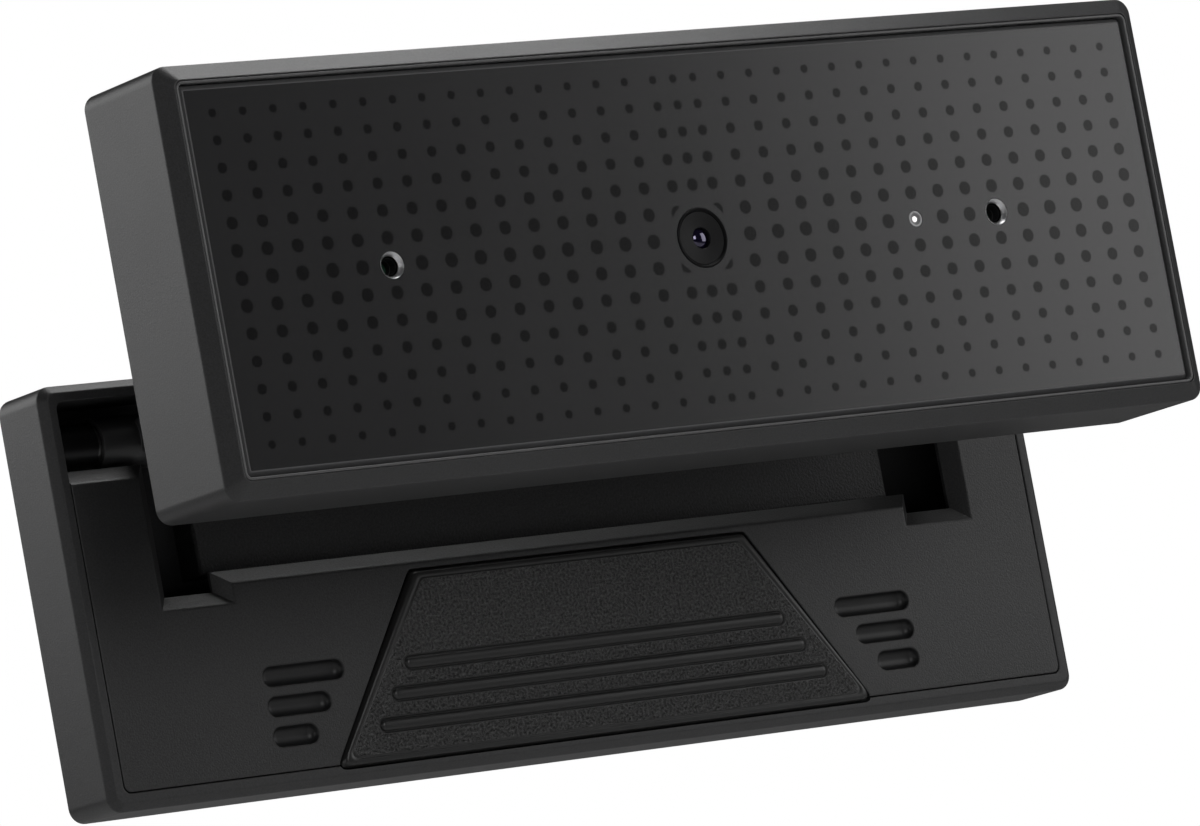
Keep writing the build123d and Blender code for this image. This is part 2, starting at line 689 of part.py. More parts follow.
def web_screws():
    """Screws through the web into the legs' tabs, heads sunk in the web."""
    screws = []
    head_low = WEB_LOW + WEB_THICKNESS - WEB_SEAT_DEPTH
    for x, y in web_screw_places():
        shank_low = WEB_LOW - TAB_DROP + SHANK_SHORT
        shank = Pos(x, y, above_pivot((shank_low + head_low) / 2)) * Cylinder(
            SCREW_RADIUS, head_low - shank_low
        )
        head = Pos(x, y, above_pivot(head_low + SCREW_HEAD_HEIGHT / 2)) * Cylinder(
            SCREW_HEAD_RADIUS, SCREW_HEAD_HEIGHT
        )
        screws.append(shank + head)
    return screws


def screen_seat():
    """Rubber strip under the web that rests on the screen's top edge."""
    strip = block(
        -SEAT_HALF_WIDTH, SEAT_HALF_WIDTH, along_arm(SEAT_END), along_arm(SEAT_START),
        above_pivot(WEB_LOW - SEAT_DROP), above_pivot(WEB_LOW),
    )
    return chamfer(strip.faces().sort_by(Axis.Z)[0].edges(), SEAT_EDGE)


# ---------------------------------------------------------------- clamp unit

CLAMP_BOSS_DROPS = (19.5, UNIT_HEIGHT - WALL - BOSS_RADIUS + BOSS_IN_WALL)
BACK_OUTSIDE = CLAMP_FACE + CLAMP_DEPTH
CLAMP_BRACKET_INNER_X = 80.0
CLAMP_BRACKET_OUTER_X = 86.6
CLAMP_BRACKET_RADIUS = 3.4
CLAMP_SEAT = BACK_OUTSIDE - 1.1
CLAMP_SHANK_START = CLAMP_FACE + 1.4
CLAMP_SHANK_GAP = 0.1
PANEL_HOLE_START = CLAMP_FACE + 1.2
PAD_CORNER = 1.2
PAD_SIDE_SPREAD = 1.5
PAD_EDGE = 0.3
PLATFORM_EDGE = 0.4
PLATFORM_WALL = 1.5
PLATFORM_UNDER_EDGE = 1.0
STIFFENER_HALF_WIDTH = 72.0
STIFFENER_THICKNESS = 1.2
STIFFENER_DROPS = (58.5, 36.5)


def pad_outline(margin):
    """The grip pad's trapezoid, grown by a margin, with eased corners."""
    shape = polygon([
        (-PAD_TOP_HALF - margin, PAD_TOP_DROP - margin),
        (PAD_TOP_HALF + margin, PAD_TOP_DROP - margin),
        (PAD_BOTTOM_HALF + PAD_SIDE_SPREAD * margin, PAD_BOTTOM_DROP + margin),
        (-PAD_BOTTOM_HALF - PAD_SIDE_SPREAD * margin, PAD_BOTTOM_DROP + margin),
    ])
    return fillet(shape.vertices(), PAD_CORNER)


def pad_pocket():
    """Cutter for the pocket that the grip pad is glued in."""
    depth = CUT_PAST + PAD_POCKET
    return inward(pad_outline(PAD_GAP), CLAMP_FACE - CUT_PAST, depth, CLAMP_TOP)


def clamp_shell():
    """Moulded tub of the clamp unit: back wall, four sides and screw bosses."""
    body = unit_body(CLAMP_FACE, CLAMP_DEPTH, CLAMP_CHAMFER_WIDTH, CLAMP_CHAMFER_DEPTH, CLAMP_TOP)
    opening = centred_rectangle(2 * OPEN_HALF_WIDTH, OPEN_HEIGHT, FACE_CORNER, UNIT_HEIGHT / 2)
    body -= inward(opening, CLAMP_FACE - CUT_PAST, CLAMP_DEPTH - BACK_WALL + CUT_PAST, CLAMP_TOP)
    for side in SIDES:
        for drop in CLAMP_BOSS_DROPS:
            place = (side * BOSS_X, CLAMP_TOP - drop)
            body += depth_rod(*place, CLAMP_FACE + FACE_THICKNESS, CLAMP_FLOOR, BOSS_RADIUS)
            end = BACK_OUTSIDE + CUT_PAST
            body -= depth_rod(*place, CLAMP_SHANK_START, end, SCREW_RADIUS + CLAMP_SHANK_GAP)
            body -= depth_rod(*place, CLAMP_SEAT, end, SCREW_HEAD_RADIUS + SCREW_HEAD_GAP)
    return body - pad_pocket()


def recess_outline():
    """Mouth of the arm's recess in the face: the full-width trough, and the well under it."""
    return polygon([
        (-UNIT_WIDTH, -UNIT_HEIGHT),
        (UNIT_WIDTH, -UNIT_HEIGHT),
        (UNIT_WIDTH, TROUGH_DROP),
        (RECESS_HALF_WIDTH, TROUGH_DROP),
        (RECESS_HALF_WIDTH, POCKET_DROP),
        (POCKET_INNER_X, POCKET_DROP),
        (POCKET_INNER_X, LIP_DROP),
        (-POCKET_INNER_X, LIP_DROP),
        (-POCKET_INNER_X, POCKET_DROP),
        (-RECESS_HALF_WIDTH, POCKET_DROP),
        (-RECESS_HALF_WIDTH, TROUGH_DROP),
        (-UNIT_WIDTH, TROUGH_DROP),
    ])


def slot_cutters():
    """The three blind slots on each side of the pad, shorter towards the bottom."""
    cutter = Part()
    for drop, inner in zip(SLOT_DROPS, SLOT_INNER_X):
        for side in SIDES:
            middle = side * (inner + SLOT_OUTER_X) / 2
            slot = Pos(middle, drop) * SlotOverall(SLOT_OUTER_X - inner, SLOT_BREADTH)
            cutter += inward(slot, CLAMP_FACE - CUT_PAST, CUT_PAST + SLOT_DEPTH, CLAMP_TOP)
    return cutter


def clamp_face_panel():
    """Face plate of the clamp unit: bevelled recess, pad pocket and blind slots."""
    outline = centred_rectangle(
        2 * (OPEN_HALF_WIDTH - FACE_GAP), OPEN_HEIGHT - 2 * FACE_GAP, FACE_CORNER, UNIT_HEIGHT / 2
    )
    panel = inward(outline, CLAMP_FACE, FACE_THICKNESS, CLAMP_TOP)
    bevel = inward(recess_outline(), CLAMP_FACE, RECESS_BEVEL, CLAMP_TOP, taper=45)
    through = offset(recess_outline(), -RECESS_BEVEL, kind=Kind.INTERSECTION)
    panel -= bevel
    panel -= inward(through, CLAMP_FACE + RECESS_BEVEL - BEVEL_OVERLAP, FACE_THICKNESS, CLAMP_TOP)
    panel -= pad_pocket()
    for side in SIDES:
        for drop in CLAMP_BOSS_DROPS:
            place = (side * BOSS_X, CLAMP_TOP - drop)
            end = CLAMP_FACE + FACE_THICKNESS + CUT_PAST
            panel -= depth_rod(*place, PANEL_HOLE_START, end, SCREW_RADIUS + TAPPED_GAP)
    return panel - slot_cutters()


def grip_pad():
    """Rubber pad with a plain upper field and three raised ribs."""
    depth = PAD_PROUD + PAD_POCKET
    pad = inward(pad_outline(0), CLAMP_FACE - PAD_PROUD, depth, CLAMP_TOP)
    pad = chamfer(pad.faces().sort_by(Axis.Y)[0].edges(), PAD_EDGE)
    for drop, half in zip(RIB_DROPS, RIB_HALF_LENGTHS):
        rib = Pos(0, drop) * SlotOverall(2 * half, RIB_BREADTH)
        front = CLAMP_FACE - PAD_PROUD - RIB_HEIGHT
        pad += inward(rib, front, RIB_HEIGHT + PAD_PROUD, CLAMP_TOP)
    return pad


def recess_platform():
    """Raised textured cover at the back of the recess, between the two leg columns."""
    low = CLAMP_TOP - LIP_DROP + RECESS_BEVEL
    high = CLAMP_TOP - TROUGH_DROP + PLATFORM_UNDER_EDGE
    front = CLAMP_FACE + PLATFORM_DEPTH
    half = PLATFORM_HALF_WIDTH
    body = block(-half, half, front, CLAMP_FLOOR, low, high)
    body = chamfer(body.faces().sort_by(Axis.Y)[0].edges(), PLATFORM_EDGE)
    return body - block(
        -half + PLATFORM_WALL, half - PLATFORM_WALL, front + PLATFORM_WALL, CLAMP_FLOOR + CUT_PAST,
        low + PLATFORM_WALL, high - PLATFORM_WALL,
    )


def clamp_stiffener():
    """Steel plate bonded behind the face panel."""
    front = CLAMP_FACE + FACE_THICKNESS
    low, high = (CLAMP_TOP - drop for drop in STIFFENER_DROPS)
    half = STIFFENER_HALF_WIDTH
    return block(-half, half, front, front + STIFFENER_THICKNESS, low, high)


def clamp_hinge_brackets():
    """Steel blocks at the ends of the trough that hold the arm's hinge pins."""
    brackets = []
    y, z = CLAMP_PIVOT
    for side in SIDES:
        inner = side * CLAMP_BRACKET_INNER_X
        outer = side * CLAMP_BRACKET_OUTER_X
        half = CLAMP_BRACKET_RADIUS
        bracket = cross_rod(inner, outer, half, CLAMP_PIVOT)
        bracket += block(inner, outer, y, CLAMP_FLOOR, z - half, z + half)
        brackets.append(bracket - cross_rod(inner, outer, PIN_RADIUS, CLAMP_PIVOT))
    return brackets


def clamp_hinge_pins():
    """Steel pins between the clamp's brackets and the arm's knuckles."""
    return [
        cross_rod(side * CLAMP_PIN_START, side * CLAMP_BRACKET_OUTER_X, PIN_RADIUS, CLAMP_PIVOT)
        for side in SIDES
    ]


def clamp_screws():
    """Four screws from the back of the shell into the face panel."""
    screws = []
    for side in SIDES:
        for drop in CLAMP_BOSS_DROPS:
            place = (side * BOSS_X, CLAMP_TOP - drop)
            shank = depth_rod(*place, CLAMP_SHANK_START, CLAMP_SEAT, SCREW_RADIUS)
            head = depth_rod(*place, CLAMP_SEAT, CLAMP_SEAT + SCREW_HEAD_HEIGHT, SCREW_HEAD_RADIUS)
            screws.append(shank + head)
    return screws


# ---------------------------------------------------------------- write the nodes

NODES = {
    "head_shell": head_shell(),
    "head_bezel": head_bezel(),
    "front_glass": front_glass(),
    "glass_carrier": glass_carrier(),
    "lens_ring": lens_ring(),
    "lens_window": lens_window(),
    "lens_barrel": lens_barrel(),
    "lens_elements": lens_elements(),
    "image_sensor": image_sensor(),
    "camera_board": camera_board(),
    "mic_port_rings": mic_port_rings(),
    "mic_gaskets": mic_gaskets(),
    "mic_boards": mic_boards(),
    "status_light_pipe": status_light_pipe(),
    "status_led": status_led(),
    "main_board": main_board(),
    "processor": processor(),
    "shield_can": shield_can(),
    "heat_spreader": heat_spreader(),
    "head_rear_cover": head_rear_cover(),
    "cover_screws": cover_screws(),
    "power_socket": power_socket(),
    "head_hinge_brackets": head_hinge_brackets(),
    "head_hinge_pins": head_hinge_pins(),
    "head_hinge_washers": friction_washers(
        LEG_OUTER_X + WASHER_SIDE_GAP, COLUMN_HALF_WIDTH, HEAD_PIVOT
    ),
    "arm_leg_left": arm_leg(-1),
    "arm_leg_right": arm_leg(1),
    "arm_web": arm_web(),
    "web_screws": web_screws(),
    "screen_seat": screen_seat(),
    "clamp_shell": clamp_shell(),
    "clamp_face_panel": clamp_face_panel(),
    "grip_pad": grip_pad(),
    "recess_platform": recess_platform(),
    "clamp_stiffener": clamp_stiffener(),
    "clamp_hinge_brackets": clamp_hinge_brackets(),
    "clamp_hinge_pins": clamp_hinge_pins(),
    "clamp_hinge_washers": friction_washers(
        CLAMP_KNUCKLE_X + WASHER_SIDE_GAP, CLAMP_BRACKET_INNER_X, CLAMP_PIVOT
    ),
    "clamp_screws": clamp_screws(),
}

os.makedirs("parts", exist_ok=True)
for name, shape in NODES.items():
    piece = Compound(children=list(shape)) if isinstance(shape, list) else shape
    export_step(piece, f"parts/{name}.step")

print(f"clamp pivot (y, z) = {CLAMP_PIVOT}, head pivot = {HEAD_PIVOT}, fold = {FOLD_DEGREES:.3f}")
print(f"glass front y = {GLASS_FRONT:.3f}, head middle z = {HEAD_MIDDLE:.3f}")
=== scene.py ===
import math

import bmesh
import bpy
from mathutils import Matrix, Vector
from mathutils.geometry import tessellate_polygon


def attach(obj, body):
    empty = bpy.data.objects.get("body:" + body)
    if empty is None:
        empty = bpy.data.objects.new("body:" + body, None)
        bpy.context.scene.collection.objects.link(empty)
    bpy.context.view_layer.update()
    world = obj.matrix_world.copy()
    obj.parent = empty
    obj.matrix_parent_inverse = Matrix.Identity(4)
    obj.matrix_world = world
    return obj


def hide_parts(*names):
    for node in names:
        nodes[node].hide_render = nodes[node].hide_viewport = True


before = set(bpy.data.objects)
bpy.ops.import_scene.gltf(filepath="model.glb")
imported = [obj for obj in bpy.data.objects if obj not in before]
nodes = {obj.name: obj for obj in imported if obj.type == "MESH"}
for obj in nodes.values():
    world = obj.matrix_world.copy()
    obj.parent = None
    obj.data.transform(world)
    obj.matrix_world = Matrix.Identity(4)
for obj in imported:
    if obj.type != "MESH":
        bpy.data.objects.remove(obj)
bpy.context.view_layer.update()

# Head shell: the moulded frame round the camera head, open behind, with a wide slope cut
# round its front. Satin black plastic. Four screw bosses stand inside its corners. Sizes here
# and in every section are in millimetres, and MM turns them into metres.

MM = 0.001
UNIT_HALF_WIDTH = 90.0
UNIT_HALF_HEIGHT = 31.5
UNIT_CORNER = 2.4
WALL = 2.56
OPENING_CORNER = 1.2
HEAD_CREST = -44.55
HEAD_BACK = -23.65
HEAD_MIDDLE = 45.8
HEAD_SLOPE_WIDTH = 2.5
HEAD_SLOPE_DEPTH = 1.9
BACK_EDGE = 0.6
EDGE_ROUNDING = 0.22
CORNER_STEPS = 8
BOSS_RADIUS = 3.0
BOSS_BORE = 0.95
BOSS_X = 84.64
HEAD_BOSS_RISE = 26.14
BOSS_FRONT = -41.4
BOSS_BACK = -25.65
CURVE_STEPS = 4
PATCHES_PER_METRE = 42.0
WEAR_AND_HIGHLIGHT_STARTS = 0.99
WEAR_AND_HIGHLIGHT_IS_FULL = 0.72
WEAR_AND_HIGHLIGHT_MOST = 1.3
WEAR_POLISH = 0.12
DARKEST_SPECK = 0.1


def rounded_loop(half_width, half_height, corner, middle):
    """Points of X and Z anticlockwise round a rounded rectangle."""
    points = []
    for turn, (right, up) in enumerate(((1, 1), (-1, 1), (-1, -1), (1, -1))):
        for step in range(CORNER_STEPS + 1):
            angle = math.radians(90 * (turn + step / CORNER_STEPS))
            x = right * (half_width - corner) + corner * math.cos(angle)
            z = up * (half_height - corner) + corner * math.sin(angle)
            points.append((x, middle + z))
    return points


def ease(profile, radius, closed=True):
    """Round the corners of a profile whose rows are (inset, depth, outline corner)."""
    rows = []
    for index, row in enumerate(profile):
        here = Vector(row)
        ends = index in (0, len(profile) - 1)
        if ends and not closed:
            rows.append(tuple(here))
            continue
        before = Vector(profile[index - 1])
        after = Vector(profile[(index + 1) % len(profile)])
        start = here.lerp(before, min(0.45, radius / (before - here).length))
        end = here.lerp(after, min(0.45, radius / (after - here).length))
        for step in range(CURVE_STEPS + 1):
            share = step / CURVE_STEPS
            rows.append(tuple(start.lerp(here, share).lerp(here.lerp(end, share), share)))
    return rows


def join_rings(mesh, rings, closed):
    """Bridge rings of vertices into walls, and first to last when the section is closed."""
    pairs = list(zip(rings, rings[1:]))
    if closed:
        pairs.append((rings[-1], rings[0]))
    for one, two in pairs:
        for index in range(len(one)):
            after = (index + 1) % len(one)
            mesh.faces.new((one[index], one[after], two[after], two[index]))


def join_capped(mesh, rings):
    """Bridge rings into a solid that is closed by flat caps at both ends."""
    join_rings(mesh, rings, closed=False)
    mesh.faces.new(rings[0])
    mesh.faces.new(rings[-1])


def put_ring(mesh, outline, depth):
    """Vertices for one outline of X and Z at one depth."""
    return [mesh.verts.new((x * MM, depth * MM, z * MM)) for x, z in outline]


def put_tube(mesh, x, z, sections, sides=32):
    """A closed turned wall along Y from sections of (radius, depth)."""
    rings = []
    for radius, depth in sections:
        turns = [2 * math.pi * side / sides for side in range(sides)]
        circle = [(x + radius * math.cos(t), z + radius * math.sin(t)) for t in turns]
        rings.append(put_ring(mesh, circle, depth))
    join_rings(mesh, rings, closed=True)


def settle(mesh, name, material, smooth_degrees=28):
    """Turn a finished bmesh into a smooth-edged object with outward faces."""
    bmesh.ops.remove_doubles(mesh, verts=mesh.verts, dist=1e-7)
    bmesh.ops.recalc_face_normals(mesh, faces=mesh.faces)
    data = bpy.data.meshes.new(name)
    mesh.to_mesh(data)
    mesh.free()
    data.shade_smooth()
    data.set_sharp_from_angle(angle=math.radians(smooth_degrees))
    data.materials.append(material)
    piece = bpy.data.objects.new(name, data)
    bpy.context.scene.collection.objects.link(piece)
    weighted = piece.modifiers.new("even_shading", "WEIGHTED_NORMAL")
    weighted.keep_sharp = True
    return piece


def named_input(tree, label, kind, value=None):
    """Give a node tree a named input, with its value where it has one."""
    socket = tree.interface.new_socket(label, in_out="INPUT", socket_type=kind)
    if value is not None:
        socket.default_value = value


def calculation(tree, operation, *values):
    """A maths node fed by numbers or by other nodes' outputs. Returns its output."""
    node = tree.nodes.new("ShaderNodeMath")
    node.operation = operation
    for place, value in enumerate(values):
        if isinstance(value, (int, float)):
            node.inputs[place].default_value = value
        else:
            tree.links.new(value, node.inputs[place])
    return node.outputs[0]


def skin_group():
    """Fine grain, slow changes of shade, rounded edges, and edges lightened by wear and by a
    painted highlight.
    """
    group = bpy.data.node_groups.new("moulded_skin", "ShaderNodeTree")
    for label in ("Colour", "Worn And Highlit Colour"):
        named_input(group, label, "NodeSocketColor")
    for label in (
        "Roughness", "Grain Per Metre", "Grain Depth", "Edge Radius", "Mottle", "Speckle",
    ):
        named_input(group, label, "NodeSocketFloat")
    for label, kind in (("Colour", "Color"), ("Roughness", "Float"), ("Normal", "Vector")):
        group.interface.new_socket(label, in_out="OUTPUT", socket_type="NodeSocket" + kind)
    add = group.nodes.new
    link = group.links.new
    given = add("NodeGroupInput").outputs
    result = add("NodeGroupOutput").inputs
    place = add("ShaderNodeTexCoord").outputs["Object"]

    grain = add("ShaderNodeTexNoise")
    grain.inputs["Detail"].default_value = 2.0
    grain.inputs["Roughness"].default_value = 0.6
    link(place, grain.inputs["Vector"])
    link(given["Grain Per Metre"], grain.inputs["Scale"])
    slow = add("ShaderNodeTexNoise")
    slow.inputs["Scale"].default_value = PATCHES_PER_METRE
    slow.inputs["Detail"].default_value = 4.0
    link(place, slow.inputs["Vector"])

    edge = add("ShaderNodeBevel")
    edge.samples = 4
    link(given["Edge Radius"], edge.inputs["Radius"])
    alike = add("ShaderNodeVectorMath")
    alike.operation = "DOT_PRODUCT"
    link(edge.outputs["Normal"], alike.inputs[0])
    link(add("ShaderNodeNewGeometry").outputs["Normal"], alike.inputs[1])
    # At edges the colour is mixed towards the lighter edge colour, broken up by the slow noise:
    # partly real wear, partly a painted highlight along the edges.
    edge_wear_and_highlight = add("ShaderNodeMapRange")
    edge_wear_and_highlight.inputs["From Min"].default_value = WEAR_AND_HIGHLIGHT_STARTS
    edge_wear_and_highlight.inputs["From Max"].default_value = WEAR_AND_HIGHLIGHT_IS_FULL
    edge_wear_and_highlight.inputs["To Max"].default_value = WEAR_AND_HIGHLIGHT_MOST
    link(alike.outputs["Value"], edge_wear_and_highlight.inputs["Value"])
    wear_and_highlight_share = calculation(group, "MULTIPLY", edge_wear_and_highlight.outputs["Result"], slow.outputs["Fac"])
    wear_and_highlight_share.node.use_clamp = True

    swing = add("ShaderNodeMapRange")
    swing.inputs["To Min"].default_value = -1.0
    link(slow.outputs["Fac"], swing.inputs["Value"])
    shift = calculation(group, "MULTIPLY", swing.outputs["Result"], given["Mottle"])
    centred = calculation(group, "SUBTRACT", grain.outputs["Fac"], 0.5)
    speck = calculation(group, "MULTIPLY_ADD", centred, given["Speckle"], 1.0)
    level = calculation(group, "MAXIMUM", calculation(group, "ADD", speck, shift), DARKEST_SPECK)
    shaded = add("ShaderNodeVectorMath")
    shaded.operation = "SCALE"
    link(given["Colour"], shaded.inputs[0])
    link(level, shaded.inputs["Scale"])
    wear_and_highlight_colour = add("ShaderNodeMix")
    wear_and_highlight_colour.data_type = "RGBA"
    link(wear_and_highlight_share, wear_and_highlight_colour.inputs["Factor"])
    link(shaded.outputs["Vector"], wear_and_highlight_colour.inputs["A"])
    link(given["Worn And Highlit Colour"], wear_and_highlight_colour.inputs["B"])
    link(wear_and_highlight_colour.outputs["Result"], result["Colour"])

    rough = calculation(group, "MULTIPLY_ADD", shift, 0.5, given["Roughness"])
    polished = calculation(group, "MULTIPLY_ADD", wear_and_highlight_share, -WEAR_POLISH, rough)
    polished.node.use_clamp = True
    link(polished, result["Roughness"])

    bump = add("ShaderNodeBump")
    bump.inputs["Strength"].default_value = 1.0
    link(grain.outputs["Fac"], bump.inputs["Height"])
    link(given["Grain Depth"], bump.inputs["Distance"])
    link(edge.outputs["Normal"], bump.inputs["Normal"])
    link(bump.outputs["Normal"], result["Normal"])
    return group


skin = skin_group()


# The second colour is the edge colour, lighter than the body colour: wear and a painted edge
# highlight together.
def skinned(name, colour, wear_and_highlight_colour, roughness, grain_mm, grain_depth_mm, edge_mm, mottle,
            speckle=0.5, **set_values):
    """A material with the moulded skin, and any further values set on the shader itself."""
    material = bpy.data.materials.new(name)
    material.use_nodes = True
    tree = material.node_tree
    shader = tree.nodes["Principled BSDF"]
    surface = tree.nodes.new("ShaderNodeGroup")
    surface.node_tree = skin
    surface.inputs["Colour"].default_value = (*colour, 1)
    surface.inputs["Worn And Highlit Colour"].default_value = (*wear_and_highlight_colour, 1)
    surface.inputs["Roughness"].default_value = roughness
    surface.inputs["Grain Per Metre"].default_value = 1 / (grain_mm * MM)
    surface.inputs["Grain Depth"].default_value = grain_depth_mm * MM
    surface.inputs["Edge Radius"].default_value = edge_mm * MM
    surface.inputs["Mottle"].default_value = mottle
    surface.inputs["Speckle"].default_value = speckle
    tree.links.new(surface.outputs["Colour"], shader.inputs["Base Color"])
    tree.links.new(surface.outputs["Roughness"], shader.inputs["Roughness"])
    tree.links.new(surface.outputs["Normal"], shader.inputs["Normal"])
    for label, value in set_values.items():
        shader.inputs[label.replace("_", " ")].default_value = value
    return material


satin_black = skinned(
    "satin_black", (0.034, 0.034, 0.035), (0.18, 0.18, 0.182), 0.46, 0.26, 0.022, 0.2, 0.06,
    speckle=1.2,
)

head_depth = HEAD_BACK - HEAD_CREST
shell_profile = ease([
    (WALL, 0.05, OPENING_CORNER),
    (HEAD_SLOPE_WIDTH - 0.04, 0.0, 1.1),
    (0.0, HEAD_SLOPE_DEPTH, UNIT_CORNER),
    (0.0, head_depth - BACK_EDGE, UNIT_CORNER),
    (BACK_EDGE, head_depth, UNIT_CORNER - BACK_EDGE),
    (WALL, head_depth, OPENING_CORNER),
], EDGE_ROUNDING)
shell_mesh = bmesh.new()
shell_rings = []
for inset, depth, corner in shell_profile:
    outline = rounded_loop(
        UNIT_HALF_WIDTH - inset, UNIT_HALF_HEIGHT - inset, corner, HEAD_MIDDLE
    )
    shell_rings.append(put_ring(shell_mesh, outline, HEAD_CREST + depth))
join_rings(shell_mesh, shell_rings, closed=True)
for side in (-1, 1):
    for level in (-1, 1):
        put_tube(shell_mesh, side * BOSS_X, HEAD_MIDDLE + level * HEAD_BOSS_RISE, [
            (BOSS_RADIUS, BOSS_FRONT), (BOSS_RADIUS, BOSS_BACK),
            (BOSS_BORE, BOSS_BACK), (BOSS_BORE, BOSS_FRONT),
        ])
shell = settle(shell_mesh, "head_shell_moulding", satin_black)
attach(shell, "head")
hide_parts("head_shell")

# Glass carrier: the flat inner plate under the glass, moulded in plain black plastic and
# glued to the shell. The glass and the rim strip are bonded to its front.


def finish_nodes(material, *names):
    """Give pieces that keep their modelled shape their finish."""
    for name in names:
        nodes[name].material_slots[0].material = material


inner_black = skinned(
    "inner_black", (0.016, 0.016, 0.017), (0.03, 0.03, 0.031), 0.6, 0.3, 0.008, 0.15, 0.08
)
finish_nodes(inner_black, "glass_carrier")

# Rim strip: a narrow raised frame that guards the edge of the glass. Smooth black plastic, a
# little glossier than the shell, pressed into the step between the slope and the glass. Its
# colour is a grey much lighter than the shell's, with a still lighter edge colour: a painted
# highlight for the bright line along its crest.

RIM_HALF_WIDTH = 87.4
RIM_HALF_HEIGHT = 28.9
RIM_BAND = 0.45
RIM_DEPTH = 1.65
RIM_CORNER = 1.2
GLASS_CORNER = 0.8

rim_black = skinned(
    "rim_black", (0.13, 0.13, 0.132), (0.42, 0.42, 0.425), 0.3, 0.2, 0.003, 0.12, 0.05
)
rim_profile = ease([
    (0.0, 0.14, RIM_CORNER),
    (0.16, 0.0, RIM_CORNER),
    (RIM_BAND - 0.1, 0.0, GLASS_CORNER + 0.1),
    (RIM_BAND, 0.1, GLASS_CORNER),
    (RIM_BAND, RIM_DEPTH, GLASS_CORNER),
    (0.0, RIM_DEPTH, RIM_CORNER),
], 0.1)
rim_mesh = bmesh.new()
rim_rings = []
for inset, depth, corner in rim_profile:
    outline = rounded_loop(
        RIM_HALF_WIDTH - inset, RIM_HALF_HEIGHT - inset, corner, HEAD_MIDDLE
    )
    rim_rings.append(put_ring(rim_mesh, outline, HEAD_CREST + depth))
join_rings(rim_mesh, rim_rings, closed=True)
rim = settle(rim_mesh, "glass_rim_strip", rim_black)
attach(rim, "head")
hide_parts("head_bezel")

# Cover glass: one smoked sheet, back-printed, with a satin front and a ground bevel round
# its edge. It has round holes for the lens, the two microphones and the status light.

GLASS_HALF_WIDTH = 86.8
GLASS_HALF_HEIGHT = 28.3
GLASS_FRONT = -44.05
GLASS_THICKNESS = 1.1
GLASS_BEVEL = 0.6
LENS_RADIUS = 4.5
MIC_X = 55.7
MIC_RADIUS = 2.0
LIGHT_X = 40.1
LIGHT_RADIUS = 1.2
HOLE_CLEARANCE = 0.05


def circle(x, z, radius, sides=48):
    """Points of X and Z round a circle."""
    turns = [2 * math.pi * side / sides for side in range(sides)]
    return [(x + radius * math.cos(turn), z + radius * math.sin(turn)) for turn in turns]


def fill_plate(mesh, rings):
    """Flat faces between an outer ring of vertices and the rings of its holes."""
    flat = [vertex for ring in rings for vertex in ring]
    for triangle in tessellate_polygon([[v.co.xzy for v in ring] for ring in rings]):
        corners = [flat[index] for index in triangle]
        if len(set(corners)) == 3:
            mesh.faces.new(corners)


smoked_glass = skinned(
    "smoked_glass", (0.02, 0.02, 0.021), (0.05, 0.05, 0.052), 0.25, 0.5, 0.0004, 0.05, 0.03,
    Specular_IOR_Level=0.75,
)
ground_edge = skinned(
    "ground_edge", (0.1, 0.1, 0.102), (0.2, 0.2, 0.2), 0.42, 0.2, 0.004, 0.05, 0.05
)
glass_mesh = bmesh.new()
glass_rows = ease([
    (0.0, GLASS_THICKNESS, GLASS_CORNER),
    (0.0, GLASS_BEVEL, GLASS_CORNER),
    (GLASS_BEVEL, 0.0, GLASS_CORNER - 0.5),
    (GLASS_BEVEL + 0.2, 0.0, GLASS_CORNER - 0.6),
], 0.08, closed=False)
glass_rings = []
for inset, depth, corner in glass_rows:
    outline = rounded_loop(
        GLASS_HALF_WIDTH - inset, GLASS_HALF_HEIGHT - inset, corner, HEAD_MIDDLE
    )
    glass_rings.append(put_ring(glass_mesh, outline, GLASS_FRONT + depth))
join_rings(glass_mesh, glass_rings, closed=False)
for face in glass_mesh.faces:
    face.material_index = 1
front_holes = []
back_holes = []
for x, radius in (
    (0, LENS_RADIUS), (-MIC_X, MIC_RADIUS), (MIC_X, MIC_RADIUS), (LIGHT_X, LIGHT_RADIUS),
):
    hole = circle(x, HEAD_MIDDLE, radius + HOLE_CLEARANCE)
    front_holes.append(put_ring(glass_mesh, hole, GLASS_FRONT))
    back_holes.append(put_ring(glass_mesh, hole, GLASS_FRONT + GLASS_THICKNESS))
    join_rings(glass_mesh, [front_holes[-1], back_holes[-1]], closed=False)
fill_plate(glass_mesh, [glass_rings[-1], *front_holes])
fill_plate(glass_mesh, [glass_rings[0], *back_holes])
glass = settle(glass_mesh, "cover_glass", smoked_glass)
glass.data.materials.append(ground_edge)
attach(glass, "head")
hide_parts("front_glass")

# Printed dots: a screen-printed field of dark ink dots on the glass, largest along the
# middle row and smaller towards the top and bottom. It is left clear round the lens.

DOT_PITCH_X = 5.2
DOT_PITCH_Z = 4.01
DOT_FIRST_COLUMN = 0.71
DOT_COLUMNS = 33
DOT_ROWS = 13
DOT_SHARE_MIDDLE = 0.424
DOT_SHARE_STEP = 0.0293
DOT_THICKNESS = 0.02
DOT_SIDES = 28
LENS_CLEARING = 5.72
LENS_INNER_CLEARING = 4.9

printed_ink = skinned(
    "printed_ink", (0.008, 0.008, 0.0085), (0.02, 0.02, 0.021), 0.25, 0.5, 0.0004, 0.01, 0.03,
    Specular_IOR_Level=0.3,
)


